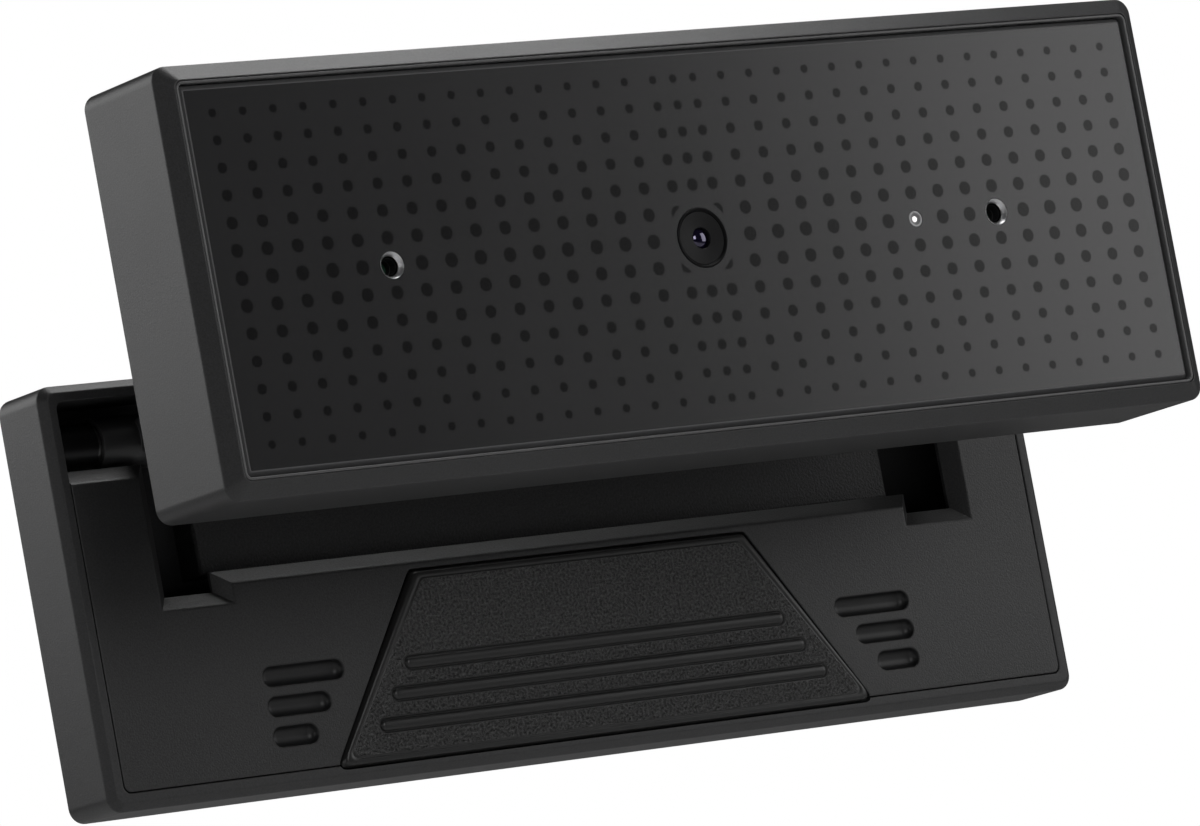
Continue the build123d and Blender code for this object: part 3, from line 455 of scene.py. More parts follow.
def dot_field_tree():
    """Lay discs on a grid, shrink them row by row, leave out what the holes take, and
    hollow the discs next to the lens to its clear ring."""
    tree = bpy.data.node_groups.new("printed_dot_field", "GeometryNodeTree")
    tree.interface.new_socket("Geometry", in_out="OUTPUT", socket_type="NodeSocketGeometry")
    named_input(tree, "Geometry", "NodeSocketGeometry")
    named_input(tree, "Columns", "NodeSocketInt", DOT_COLUMNS)
    named_input(tree, "Rows", "NodeSocketInt", DOT_ROWS)
    named_input(tree, "Column Pitch", "NodeSocketFloat", DOT_PITCH_X * MM)
    named_input(tree, "Row Pitch", "NodeSocketFloat", DOT_PITCH_Z * MM)
    named_input(tree, "First Column Share", "NodeSocketFloat", DOT_FIRST_COLUMN)
    named_input(tree, "Middle Dot Share", "NodeSocketFloat", DOT_SHARE_MIDDLE)
    named_input(tree, "Share Lost Per Row", "NodeSocketFloat", DOT_SHARE_STEP)
    named_input(tree, "Dot Thickness", "NodeSocketFloat", DOT_THICKNESS * MM)
    named_input(tree, "Lens Clearing", "NodeSocketFloat", LENS_CLEARING * MM)
    named_input(tree, "Lens Inner Clearing", "NodeSocketFloat", LENS_INNER_CLEARING * MM)
    named_input(tree, "Microphone Place", "NodeSocketFloat", MIC_X * MM)
    named_input(tree, "Light Place", "NodeSocketFloat", LIGHT_X * MM)
    named_input(tree, "Field Centre", "NodeSocketVector")
    named_input(tree, "Ink", "NodeSocketMaterial")
    add = tree.nodes.new
    link = tree.links.new
    given = add("NodeGroupInput").outputs

    index = add("GeometryNodeInputIndex").outputs[0]
    row = calculation(tree, "FLOOR", calculation(tree, "DIVIDE", index, given["Columns"]))
    column = calculation(tree, "MODULO", index, given["Columns"])
    last_column = calculation(tree, "SUBTRACT", given["Columns"], 1.0)
    last_row = calculation(tree, "SUBTRACT", given["Rows"], 1.0)
    across = calculation(tree, "MULTIPLY_ADD", last_column, -0.5, column)
    up = calculation(tree, "MULTIPLY_ADD", last_row, -0.5, row)
    steps_out = calculation(tree, "SUBTRACT", calculation(tree, "ABSOLUTE", across), 1.0)
    columns_out = calculation(tree, "ADD", steps_out, given["First Column Share"])
    signed = calculation(tree, "MULTIPLY", calculation(tree, "SIGN", across), columns_out)
    grid_place = add("ShaderNodeCombineXYZ")
    link(calculation(tree, "MULTIPLY", signed, given["Column Pitch"]), grid_place.inputs["X"])
    link(calculation(tree, "MULTIPLY", up, given["Row Pitch"]), grid_place.inputs["Z"])
    points = add("GeometryNodePoints")
    link(calculation(tree, "MULTIPLY", given["Columns"], given["Rows"]), points.inputs["Count"])
    link(grid_place.outputs[0], points.inputs["Position"])

    here = add("ShaderNodeSeparateXYZ")
    link(add("GeometryNodeInputPosition").outputs[0], here.inputs[0])
    x = here.outputs["X"]
    z = here.outputs["Z"]
    squares = calculation(tree, "ADD", calculation(tree, "POWER", x, 2.0),
                          calculation(tree, "POWER", z, 2.0))
    from_lens = calculation(tree, "SQRT", squares)
    rows_out = calculation(tree, "DIVIDE", calculation(tree, "ABSOLUTE", z), given["Row Pitch"])
    half_pitch = calculation(tree, "MULTIPLY", given["Column Pitch"], 0.5)
    to_microphone = calculation(tree, "SUBTRACT", calculation(tree, "ABSOLUTE", x),
                                given["Microphone Place"])
    to_light = calculation(tree, "SUBTRACT", x, given["Light Place"])
    by_microphone = calculation(tree, "LESS_THAN", calculation(tree, "ABSOLUTE", to_microphone),
                                half_pitch)
    by_light = calculation(tree, "LESS_THAN", calculation(tree, "ABSOLUTE", to_light), half_pitch)
    by_hole = calculation(tree, "MAXIMUM", by_microphone, by_light)
    middle_row = calculation(tree, "LESS_THAN", rows_out, 0.5)
    by_lens = calculation(tree, "LESS_THAN", from_lens, given["Lens Inner Clearing"])
    on_a_hole = calculation(tree, "MULTIPLY", by_hole, middle_row)
    left_out = calculation(tree, "MAXIMUM", by_lens, on_a_hole)
    kept = add("GeometryNodeDeleteGeometry")
    link(points.outputs[0], kept.inputs["Geometry"])
    link(left_out, kept.inputs["Selection"])

    lost = calculation(tree, "MULTIPLY", rows_out, given["Share Lost Per Row"])
    share = calculation(tree, "SUBTRACT", given["Middle Dot Share"], lost)
    breadth = calculation(tree, "MULTIPLY", share, given["Column Pitch"])
    size = add("ShaderNodeCombineXYZ")
    link(breadth, size.inputs["X"])
    link(breadth, size.inputs["Y"])
    link(given["Dot Thickness"], size.inputs["Z"])
    disc = add("GeometryNodeMeshCylinder")
    disc.inputs["Vertices"].default_value = DOT_SIDES
    disc.inputs["Radius"].default_value = 0.5
    disc.inputs["Depth"].default_value = 1.0
    spread = add("GeometryNodeInstanceOnPoints")
    spread.inputs["Rotation"].default_value = (math.radians(90), 0, 0)
    link(kept.outputs[0], spread.inputs["Points"])
    link(disc.outputs["Mesh"], spread.inputs["Instance"])
    link(size.outputs[0], spread.inputs["Scale"])
    realized = add("GeometryNodeRealizeInstances")
    link(spread.outputs[0], realized.inputs["Geometry"])

    pushed = calculation(tree, "DIVIDE", given["Lens Clearing"], from_lens)
    out_x = calculation(tree, "MULTIPLY", x, pushed)
    out_z = calculation(tree, "MULTIPLY", z, pushed)
    hollowed_place = add("ShaderNodeCombineXYZ")
    link(out_x, hollowed_place.inputs["X"])
    link(here.outputs["Y"], hollowed_place.inputs["Y"])
    link(out_z, hollowed_place.inputs["Z"])
    hollowed = add("GeometryNodeSetPosition")
    link(realized.outputs[0], hollowed.inputs["Geometry"])
    link(calculation(tree, "LESS_THAN", from_lens, given["Lens Clearing"]),
         hollowed.inputs["Selection"])
    link(hollowed_place.outputs[0], hollowed.inputs["Position"])
    moved = add("GeometryNodeTransform")
    link(hollowed.outputs[0], moved.inputs["Geometry"])
    link(given["Field Centre"], moved.inputs["Translation"])
    final = add("GeometryNodeRealizeInstances")
    link(moved.outputs[0], final.inputs["Geometry"])
    inked = add("GeometryNodeSetMaterial")
    link(final.outputs[0], inked.inputs["Geometry"])
    link(given["Ink"], inked.inputs["Material"])
    link(inked.outputs[0], add("NodeGroupOutput").inputs[0])
    return tree


def grown(tree, name, start_mesh, **inputs):
    """Run a geometry node tree on a start mesh and keep the result as a plain mesh."""
    holder = bpy.data.objects.new("holder", start_mesh)
    bpy.context.scene.collection.objects.link(holder)
    modifier = holder.modifiers.new("grown", "NODES")
    modifier.node_group = tree
    for item in tree.interface.items_tree:
        label = item.name.replace(" ", "_")
        if item.in_out == "INPUT" and label in inputs:
            modifier[item.identifier] = inputs[label]
    ready = holder.evaluated_get(bpy.context.evaluated_depsgraph_get())
    data = bpy.data.meshes.new_from_object(ready)
    data.name = name
    holder.modifiers.remove(modifier)
    bpy.data.objects.remove(holder)
    piece = bpy.data.objects.new(name, data)
    bpy.context.scene.collection.objects.link(piece)
    return piece


dots = grown(
    dot_field_tree(), "printed_dots", bpy.data.meshes.new("dot_start"),
    Field_Centre=(0.0, (GLASS_FRONT - DOT_THICKNESS / 2) * MM, HEAD_MIDDLE * MM),
    Ink=printed_ink,
)
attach(dots, "head")

# Camera: a black anodised ring lines the hole in the glass, with a dark window disc inside
# it. In the middle of the disc a small coated lens looks out of its threaded barrel.

LENS_RING_INNER = 4.05
WINDOW_RADIUS = 4.0
PUPIL_RADIUS = 1.62
LENS_DOME = 1.5


def turned(name, material, x, sections, sides=64, smooth_degrees=28, closed=True):
    """A turned piece about an axis along Y from sections of (radius, depth behind the glass).
    An open section starts and ends on the axis, where it closes."""
    mesh = bmesh.new()
    rings = []
    for radius, depth in sections:
        ring = circle(x, HEAD_MIDDLE, max(radius, 1e-4), sides)
        rings.append(put_ring(mesh, ring, GLASS_FRONT + depth))
    if closed:
        join_rings(mesh, rings, closed=True)
    else:
        join_capped(mesh, rings)
    return settle(mesh, name, material, smooth_degrees)


anodised_black = skinned(
    "anodised_black", (0.004, 0.004, 0.0045), (0.01, 0.01, 0.01), 0.45, 0.12, 0.002, 0.05, 0.05,
    Specular_IOR_Level=0.12,
)
lens_ring = turned("lens_trim_ring", anodised_black, 0, [
    (LENS_RADIUS, 1.15), (LENS_RADIUS, -0.06), (LENS_RADIUS - 0.06, -0.13),
    (LENS_RADIUS - 0.22, -0.13), (LENS_RING_INNER, 0.08), (LENS_RING_INNER, 1.15),
])
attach(lens_ring, "head")
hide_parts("lens_ring")

window_black = skinned(
    "window_black", (0.01, 0.01, 0.0105), (0.02, 0.02, 0.021), 0.26, 0.3, 0.0004, 0.04, 0.03,
    Specular_IOR_Level=0.24,
)
window = turned("lens_window_disc", window_black, 0, [
    (WINDOW_RADIUS, 0.8), (WINDOW_RADIUS, 0.14), (WINDOW_RADIUS - 0.05, 0.1),
    (PUPIL_RADIUS + 0.05, 0.16), (PUPIL_RADIUS, 0.2), (PUPIL_RADIUS - 0.12, 0.8),
])
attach(window, "head")
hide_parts("lens_window")

coated_lens = bpy.data.materials.new("coated_lens")
coated_lens.use_nodes = True
lens_tree = coated_lens.node_tree
lens_shader = lens_tree.nodes["Principled BSDF"]
lens_shader.inputs["Metallic"].default_value = 0.0
lens_shader.inputs["Specular IOR Level"].default_value = 1.0
lens_shader.inputs["Specular Tint"].default_value = (0.72, 0.66, 1.0, 1)
lens_shader.inputs["Coat Weight"].default_value = 1.0
lens_shader.inputs["Coat Roughness"].default_value = 0.02
lens_shader.inputs["Coat Tint"].default_value = (0.9, 0.86, 1.0, 1)
lens_place = lens_tree.nodes.new("ShaderNodeTexCoord")
lens_haze = lens_tree.nodes.new("ShaderNodeTexNoise")
lens_haze.inputs["Scale"].default_value = 900.0
lens_tree.links.new(lens_place.outputs["Object"], lens_haze.inputs["Vector"])
lens_shade = lens_tree.nodes.new("ShaderNodeValToRGB")
lens_shade.color_ramp.elements[0].color = (0.002, 0.002, 0.006, 1)
lens_shade.color_ramp.elements[1].color = (0.012, 0.008, 0.03, 1)
lens_tree.links.new(lens_haze.outputs["Fac"], lens_shade.inputs["Fac"])
lens_tree.links.new(lens_shade.outputs["Color"], lens_shader.inputs["Base Color"])
lens_gloss = lens_tree.nodes.new("ShaderNodeMapRange")
lens_gloss.inputs["To Min"].default_value = 0.03
lens_gloss.inputs["To Max"].default_value = 0.09
lens_tree.links.new(lens_haze.outputs["Fac"], lens_gloss.inputs["Value"])
lens_tree.links.new(lens_gloss.outputs["Result"], lens_shader.inputs["Roughness"])

dome_sections = [(0.0, 1.6), (LENS_DOME, 1.6), (LENS_DOME, 0.95)]
for step in range(1, 11):
    angle = math.radians(9 * step)
    dome_sections.append((LENS_DOME * math.cos(angle), 0.95 - 0.62 * math.sin(angle)))
lens = turned("lens_front_element", coated_lens, 0, dome_sections, closed=False)
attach(lens, "head")

board_green = skinned(
    "solder_mask", (0.008, 0.05, 0.026), (0.03, 0.09, 0.05), 0.4, 0.5, 0.01, 0.05, 0.15
)
chip_black = skinned(
    "chip_black", (0.02, 0.02, 0.021), (0.06, 0.06, 0.06), 0.5, 0.2, 0.006, 0.08, 0.1
)
finish_nodes(anodised_black, "lens_barrel")
finish_nodes(coated_lens, "lens_elements")
finish_nodes(chip_black, "image_sensor")
finish_nodes(board_green, "camera_board")

# Microphones: a bright turned ring is pressed into each hole of the glass, and its slanted
# mouth leads to a dark sound hole. Behind it a soft gasket seals against a small board.

MOUTH_RADIUS = 1.95
BORE_RADIUS = 1.5

bright_metal = skinned(
    "bright_turned_metal", (0.78, 0.78, 0.79), (0.9, 0.9, 0.9), 0.36, 0.05, 0.0008, 0.03, 0.1,
    Metallic=1.0,
)
soft_black_rubber = skinned(
    "soft_black_rubber", (0.018, 0.018, 0.018), (0.03, 0.03, 0.03), 0.75, 0.25, 0.012, 0.1, 0.1
)
# A near-black, dull sleeve inside each bore paints the shade of the deep sound hole.
sound_hole_black = skinned(
    "sound_hole_black", (0.002, 0.002, 0.002), (0.004, 0.004, 0.004), 0.9, 0.1, 0.01, 0.02, 0.2,
    Specular_IOR_Level=0.1,
)
for side, name in ((-1, "left"), (1, "right")):
    ring = turned(f"microphone_ring_{name}", bright_metal, side * MIC_X, [
        (MIC_RADIUS, 1.1), (MIC_RADIUS, 0.05), (MIC_RADIUS - 0.02, 0.03),
        (MOUTH_RADIUS, 0.05), (BORE_RADIUS, 0.83), (BORE_RADIUS, 1.1),
    ], sides=48)
    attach(ring, "head")
    # This sleeve is painted shade: it darkens the back of the bore.
    shade_sleeve = turned(f"microphone_liner_{name}", sound_hole_black, side * MIC_X, [
        (BORE_RADIUS - 0.02, 1.1), (BORE_RADIUS - 0.02, 0.85), (BORE_RADIUS - 0.08, 0.83),
        (BORE_RADIUS - 0.2, 1.1),
    ], sides=48)
    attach(shade_sleeve, "head")
    if side < 0:
        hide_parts("mic_port_rings")
finish_nodes(soft_black_rubber, "mic_gaskets")
finish_nodes(board_green, "mic_boards")

# Status light: a clear rod glued in the glass carries the light of a small white lamp on
# the board. A pale sleeve rings it, and its lit core shows as a bright point.

LAMP_CORE = 0.42

pale_sleeve = skinned(
    "pale_sleeve", (0.55, 0.55, 0.56), (0.7, 0.7, 0.7), 0.35, 0.08, 0.002, 0.03, 0.08
)
grey_diffuser = skinned(
    "grey_diffuser", (0.22, 0.22, 0.225), (0.3, 0.3, 0.3), 0.3, 0.06, 0.002, 0.02, 0.1
)
lit_core = skinned(
    "lit_core", (0.9, 0.9, 0.92), (0.9, 0.9, 0.92), 0.3, 0.05, 0.001, 0.02, 0.05,
    Emission_Color=(1.0, 0.98, 0.95, 1), Emission_Strength=0.9,
)
sleeve = turned("status_light_sleeve", pale_sleeve, LIGHT_X, [
    (LIGHT_RADIUS, 8.9), (LIGHT_RADIUS, 0.05), (LIGHT_RADIUS - 0.05, 0.01),
    (LIGHT_RADIUS - 0.2, 0.01), (LIGHT_RADIUS - 0.28, 0.1), (LIGHT_RADIUS - 0.28, 8.9),
], sides=40)
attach(sleeve, "head")
diffuser = turned("status_light_diffuser", grey_diffuser, LIGHT_X, [
    (LIGHT_RADIUS - 0.3, 8.9), (LIGHT_RADIUS - 0.3, 0.14), (LAMP_CORE + 0.06, 0.22),
    (LAMP_CORE + 0.02, 0.3), (LAMP_CORE + 0.02, 8.9),
], sides=40)
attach(diffuser, "head")
core = turned("status_light_core", lit_core, LIGHT_X, [
    (0.0, 8.9), (LAMP_CORE, 8.9), (LAMP_CORE, 0.26), (LAMP_CORE * 0.7, 0.2), (0.0, 0.18),
], sides=32, closed=False)
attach(core, "head")
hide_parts("status_light_pipe")
finish_nodes(lit_core, "status_led")

# Electronics: the main board stands behind the carrier with the processor under a tinned
# steel can, and an aluminium plate on the can spreads its heat.

tinned_steel = skinned(
    "tinned_steel", (0.5, 0.5, 0.49), (0.7, 0.7, 0.68), 0.34, 0.3, 0.004, 0.1, 0.12, Metallic=1.0
)
mill_aluminium = skinned(
    "mill_aluminium", (0.6, 0.6, 0.61), (0.75, 0.75, 0.75), 0.42, 0.15, 0.004, 0.1, 0.1,
    Metallic=1.0,
)
finish_nodes(board_green, "main_board")
finish_nodes(chip_black, "processor")
finish_nodes(tinned_steel, "shield_can")
finish_nodes(mill_aluminium, "heat_spreader")

# Rear cover: the moulded back plate of the head, with the deep recess that takes the folded
# arm. Four black steel screws go through it into the shell's bosses.

COVER_SCREW_TOP = -23.85
COVER_SHANK = 6.0
SCREW_HEAD_RADIUS = 1.88
SCREW_HEAD_HEIGHT = 0.8
SHANK_RADIUS = 0.88
THREAD_PITCH = 0.45
THREAD_DEPTH = 0.14
SCREW_SIDES = 24
SOCKET_RADIUS = 0.95
SOCKET_DEPTH = 0.5

finish_nodes(satin_black, "head_rear_cover")
black_oxide = skinned(
    "black_oxide", (0.018, 0.018, 0.019), (0.12, 0.12, 0.12), 0.36, 0.1, 0.002, 0.06, 0.12,
    Metallic=0.7,
)


def screw_mesh(shank_length):
    """One screw with its head's top at the origin and its shank along -Y: a six-sided
    socket, a rounded head and a ridged shank."""
    turns_round = [2 * math.pi * side / SCREW_SIDES for side in range(SCREW_SIDES)]
    socket = [SOCKET_RADIUS + 0.09 * math.cos(6 * turn) for turn in turns_round]
    head_bottom = -SCREW_HEAD_HEIGHT
    rows = [(socket, -SOCKET_DEPTH), (socket, -0.02)]
    for radius, depth in (
        (1.12, 0.0), (1.6, -0.02), (SCREW_HEAD_RADIUS - 0.05, -0.14), (SCREW_HEAD_RADIUS, -0.3),
        (SCREW_HEAD_RADIUS, head_bottom), (SHANK_RADIUS, head_bottom),
    ):
        rows.append(([radius] * SCREW_SIDES, depth))
    for turn in range(int(shank_length / THREAD_PITCH)):
        depth = head_bottom - 0.2 - turn * THREAD_PITCH
        rows.append(([SHANK_RADIUS - THREAD_DEPTH] * SCREW_SIDES, depth))
        rows.append(([SHANK_RADIUS] * SCREW_SIDES, depth - 0.2))
    rows.append(([SHANK_RADIUS * 0.6] * SCREW_SIDES, head_bottom - shank_length))
    mesh = bmesh.new()
    rings = []
    for radii, depth in rows:
        outline = [(r * math.cos(t), r * math.sin(t)) for r, t in zip(radii, turns_round)]
        rings.append(put_ring(mesh, outline, depth))
    join_capped(mesh, rings)
    bmesh.ops.recalc_face_normals(mesh, faces=mesh.faces)
    data = bpy.data.meshes.new("screw")
    mesh.to_mesh(data)
    mesh.free()
    data.shade_smooth()
    data.set_sharp_from_angle(angle=math.radians(28))
    return data


def screw_tree():
    """Put one screw at each point, aimed one way and each turned by its own amount."""
    tree = bpy.data.node_groups.new("screws_at_points", "GeometryNodeTree")
    tree.interface.new_socket("Geometry", in_out="OUTPUT", socket_type="NodeSocketGeometry")
    named_input(tree, "Geometry", "NodeSocketGeometry")
    named_input(tree, "Screw", "NodeSocketObject")
    named_input(tree, "Aim", "NodeSocketRotation")
    named_input(tree, "Turn Seed", "NodeSocketInt", 7)
    named_input(tree, "Finish", "NodeSocketMaterial")
    add = tree.nodes.new
    link = tree.links.new
    given = add("NodeGroupInput").outputs
    template = add("GeometryNodeObjectInfo")
    link(given["Screw"], template.inputs["Object"])
    placed = add("GeometryNodeInstanceOnPoints")
    link(given["Geometry"], placed.inputs["Points"])
    link(template.outputs["Geometry"], placed.inputs["Instance"])
    link(given["Aim"], placed.inputs["Rotation"])
    chance = add("FunctionNodeRandomValue")
    chance.data_type = "FLOAT"
    chance.inputs[3].default_value = 2 * math.pi
    link(given["Turn Seed"], chance.inputs["Seed"])
    turn = add("ShaderNodeCombineXYZ")
    link(chance.outputs[1], turn.inputs["Y"])
    driven = add("GeometryNodeRotateInstances")
    link(placed.outputs[0], driven.inputs["Instances"])
    link(turn.outputs[0], driven.inputs["Rotation"])
    realized = add("GeometryNodeRealizeInstances")
    link(driven.outputs[0], realized.inputs["Geometry"])
    finished = add("GeometryNodeSetMaterial")
    link(realized.outputs[0], finished.inputs["Geometry"])
    link(given["Finish"], finished.inputs["Material"])
    link(finished.outputs[0], add("NodeGroupOutput").inputs[0])
    return tree


screws_at_points = screw_tree()


def driven_screws(name, places, shank_length, aim):
    """Screws at places in millimetres, as one plain mesh."""
    points = bpy.data.meshes.new("screw_places")
    points.from_pydata([(x * MM, y * MM, z * MM) for x, y, z in places], [], [])
    template = bpy.data.objects.new("screw_template", screw_mesh(shank_length))
    piece = grown(
        screws_at_points, name, points, Screw=template, Aim=aim, Finish=black_oxide
    )
    bpy.data.objects.remove(template)
    return piece


corners = [(side, level) for side in (-1, 1) for level in (-1, 1)]
cover_screws = driven_screws("rear_cover_screws", [
    (side * BOSS_X, COVER_SCREW_TOP, HEAD_MIDDLE + level * HEAD_BOSS_RISE)
    for side, level in corners
], COVER_SHANK, (0.0, 0.0, 0.0))
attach(cover_screws, "head")
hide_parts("cover_screws")

# Power socket: a drawn steel shell with a contact tongue, soldered to its board and open
# through the rear cover.

finish_nodes(tinned_steel, "power_socket")

# Head hinge: black steel blocks in the head hold a ground steel pin on each side, and a
# spring washer between block and arm gives the hinge its grip.

ground_steel = skinned(
    "ground_steel", (0.42, 0.42, 0.42), (0.62, 0.62, 0.62), 0.28, 0.08, 0.002, 0.08, 0.15,
    Metallic=1.0,
)
finish_nodes(black_oxide, "head_hinge_brackets")
finish_nodes(ground_steel, "head_hinge_pins", "head_hinge_washers")

# Folding arm: two die-cast legs with round knuckles, painted satin black, joined by a flat
# web. A rubber strip under the web rests on the screen's top edge. Four screws hold the web.

WEB_SCREW_X = 60.5
WEB_SCREW_TOP = 34.2
WEB_SHANK = 2.7
WEB_SCREW_DEPTHS = (-7.1, -10.7)

painted_casting = skinned(
    "painted_casting", (0.03, 0.03, 0.031), (0.11, 0.11, 0.112), 0.4, 0.2, 0.01, 0.35, 0.08
)
finish_nodes(painted_casting, "arm_leg_left", "arm_leg_right", "arm_web")
finish_nodes(soft_black_rubber, "screen_seat")
web_screws = driven_screws("arm_web_screws", [
    (side * WEB_SCREW_X, depth, WEB_SCREW_TOP)
    for side in (-1, 1) for depth in WEB_SCREW_DEPTHS
], WEB_SHANK, (math.radians(90), 0.0, 0.0))
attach(web_screws, "arm")
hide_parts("web_screws")

# Clamp shell: the moulded tub of the clamp unit, satin black like the head, with a narrow
# slope round its mouth, a notch for the pad's lower edge, and screw holes in its back.

CLAMP_TOP = 39.8
CLAMP_FACE = 0.6
CLAMP_MIDDLE = CLAMP_TOP - UNIT_HALF_HEIGHT
CLAMP_DEPTH = 12.4
CLAMP_SLOPE_WIDTH = 1.15
CLAMP_SLOPE_DEPTH = 1.2
BACK_WALL = 1.8
PAD_TOP_DROP = 32.9
PAD_BOTTOM_DROP = 60.9
PAD_TOP_HALF = 31.1
PAD_BOTTOM_HALF = 50.0
PAD_CORNER = 1.2
PAD_GAP = 0.25
PAD_POCKET = 1.8
CLAMP_BOSS_DROPS = (19.5, 57.64)
CLAMP_BOSS_FRONT = 3.5
CLAMP_BOSS_BACK = 11.3
SCREW_SEAT = CLAMP_DEPTH - 1.1
SCREW_CUT_START = 13.0
SCREW_CUT_END = 9.0
SCREW_SEAT_RADIUS = 2.0
SCREW_HOLE_RADIUS = 0.98
CUT_PAST = 1.0


def rounded_polygon(corner_points, radius, steps=6):
    """A polygon's outline with each corner rounded by a short curve."""
    outline = []
    for index, corner in enumerate(corner_points):
        here = Vector(corner)
        before = Vector(corner_points[index - 1]) - here
        after = Vector(corner_points[(index + 1) % len(corner_points)]) - here
        reach = radius / math.tan(before.angle(after) / 2)
        start = here + before.normalized() * reach
        end = here + after.normalized() * reach
        for step in range(steps + 1):
            share = step / steps
            outline.append(tuple(start.lerp(here, share).lerp(here.lerp(end, share), share)))
    return outline


def pad_loop(margin):
    """The pad's outline as (x, drop), grown by a margin: wider at the bottom."""
    return rounded_polygon([
        (-PAD_TOP_HALF - margin, PAD_TOP_DROP - margin),
        (-PAD_BOTTOM_HALF - 1.5 * margin, PAD_BOTTOM_DROP + margin),
        (PAD_BOTTOM_HALF + 1.5 * margin, PAD_BOTTOM_DROP + margin),
        (PAD_TOP_HALF + margin, PAD_TOP_DROP - margin),
    ], PAD_CORNER)


def put_clamp_ring(mesh, outline, depth):
    """Vertices for an outline of (x, drop) at one depth behind the clamp's face."""
    return put_ring(mesh, [(x, CLAMP_TOP - drop) for x, drop in outline], CLAMP_FACE + depth)


def cut_away(piece, cutter_mesh):
    """Take a cutter's space out of a piece, and keep the result as its plain mesh."""
    bmesh.ops.recalc_face_normals(cutter_mesh, faces=cutter_mesh.faces)
    data = bpy.data.meshes.new("cutter")
    cutter_mesh.to_mesh(data)
    cutter_mesh.free()
    cutter = bpy.data.objects.new("cutter", data)
    bpy.context.scene.collection.objects.link(cutter)
    cut = piece.modifiers.new("cut", "BOOLEAN")
    cut.operation = "DIFFERENCE"
    cut.solver = "EXACT"
    cut.use_self = True
    cut.object = cutter
    piece.modifiers.move(len(piece.modifiers) - 1, 0)
    ready = piece.evaluated_get(bpy.context.evaluated_depsgraph_get())
    piece.data = bpy.data.meshes.new_from_object(ready)
    piece.modifiers.clear()
    bpy.data.objects.remove(cutter)


clamp_profile = ease([
    (WALL, CLAMP_DEPTH - BACK_WALL, OPENING_CORNER),
    (WALL, 0.0, OPENING_CORNER),
    (CLAMP_SLOPE_WIDTH, 0.0, UNIT_CORNER - CLAMP_SLOPE_WIDTH),
    (0.0, CLAMP_SLOPE_DEPTH, UNIT_CORNER),
    (0.0, CLAMP_DEPTH - BACK_EDGE, UNIT_CORNER),
    (BACK_EDGE, CLAMP_DEPTH, UNIT_CORNER - BACK_EDGE),
    (BACK_EDGE + 1.0, CLAMP_DEPTH, 0.8),
], EDGE_ROUNDING, closed=False)
tub_mesh = bmesh.new()
tub_rings = []
for inset, depth, corner in clamp_profile:
    outline = rounded_loop(
        UNIT_HALF_WIDTH - inset, UNIT_HALF_HEIGHT - inset, corner, CLAMP_MIDDLE
    )
    tub_rings.append(put_ring(tub_mesh, outline, CLAMP_FACE + depth))
join_capped(tub_mesh, tub_rings)
for side in (-1, 1):
    for drop in CLAMP_BOSS_DROPS:
        put_tube(tub_mesh, side * BOSS_X, CLAMP_TOP - drop, [
            (BOSS_RADIUS, CLAMP_BOSS_FRONT), (BOSS_RADIUS, CLAMP_BOSS_BACK),
            (BOSS_BORE, CLAMP_BOSS_BACK), (BOSS_BORE, CLAMP_BOSS_FRONT),
        ])
tub = settle(tub_mesh, "clamp_shell_moulding", satin_black)
notch_mesh = bmesh.new()
notch_rings = [
    put_clamp_ring(notch_mesh, pad_loop(PAD_GAP), depth) for depth in (-CUT_PAST, PAD_POCKET)
]
join_capped(notch_mesh, notch_rings)
for side in (-1, 1):
    for drop in CLAMP_BOSS_DROPS:
        hole_rings = []
        for radius, depth in (
            (SCREW_SEAT_RADIUS, SCREW_CUT_START), (SCREW_SEAT_RADIUS, SCREW_SEAT),
            (SCREW_HOLE_RADIUS, SCREW_SEAT), (SCREW_HOLE_RADIUS, SCREW_CUT_END),
        ):
            hole = circle(side * BOSS_X, drop, radius, 32)
            hole_rings.append(put_clamp_ring(notch_mesh, hole, depth))
        join_capped(notch_mesh, hole_rings)
cut_away(tub, notch_mesh)
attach(tub, "clamp")
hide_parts("clamp_shell")

# Face panel: the clamp's moulded face plate, screwed on from behind. A full-width trough and
# a well with 45 degree edges take the arm, and three scooped slots stand each side of the pad.

PANEL_HALF_WIDTH = 87.3
PANEL_BOTTOM_DROP = 60.3
PANEL_THICKNESS = 2.9
PANEL_CORNER = 1.2
TROUGH_DROP = 14.8
LIP_DROP = 31.7
POCKET_DROP = 34.7
POCKET_INNER_X = 62.7
RECESS_HALF_WIDTH = 75.6
SLOT_DROPS = (46.1, 50.6, 55.1)
SLOT_INNER_X = (46.0, 49.2, 52.4)
SLOT_OUTER_X = 60.3
SLOT_HALF_BREADTH = 1.45
SLOT_SECTION = (
    (0.26, 0.0), (0.14, 0.02), (0.05, 0.09), (0.0, 0.2), (-0.07, 0.5),
    (-0.22, 0.8), (-0.48, 1.05), (-0.8, 1.2), (-1.15, 1.28), (-1.4, 1.3),
)
PANEL_EDGE_SECTION = (
    (0.0, -0.15, -0.3), (0.02, -0.09, -0.15), (0.075, -0.03, 0.0), (0.17, 0.0, 0.15),
    (0.3, 0.0, 0.3), (2.2, 0.0, 2.2), (PANEL_THICKNESS, 0.0, 2.2),
)


def offset_outline(points, kinds, amounts):
    """Move each edge of an anticlockwise outline outwards by its own kind's amount."""
    moved = []
    for index, point in enumerate(points):
        here = Vector(point)
        before = here - Vector(points[index - 1])
        after = Vector(points[(index + 1) % len(points)]) - here
        out_before = Vector((before.y, -before.x)).normalized()
        out_after = Vector((after.y, -after.x)).normalized()
        push_before = amounts[kinds[index - 1]]
        push_after = amounts[kinds[index]]
        square = out_before.x * out_after.y - out_before.y * out_after.x
        if abs(square) < 0.02:
            moved.append(tuple(here + (out_before * push_before + out_after * push_after) / 2))
            continue
        x = (push_before * out_after.y - push_after * out_before.y) / square
        y = (push_after * out_before.x - push_before * out_after.x) / square
        moved.append((here.x + x, here.y + y))
    return moved


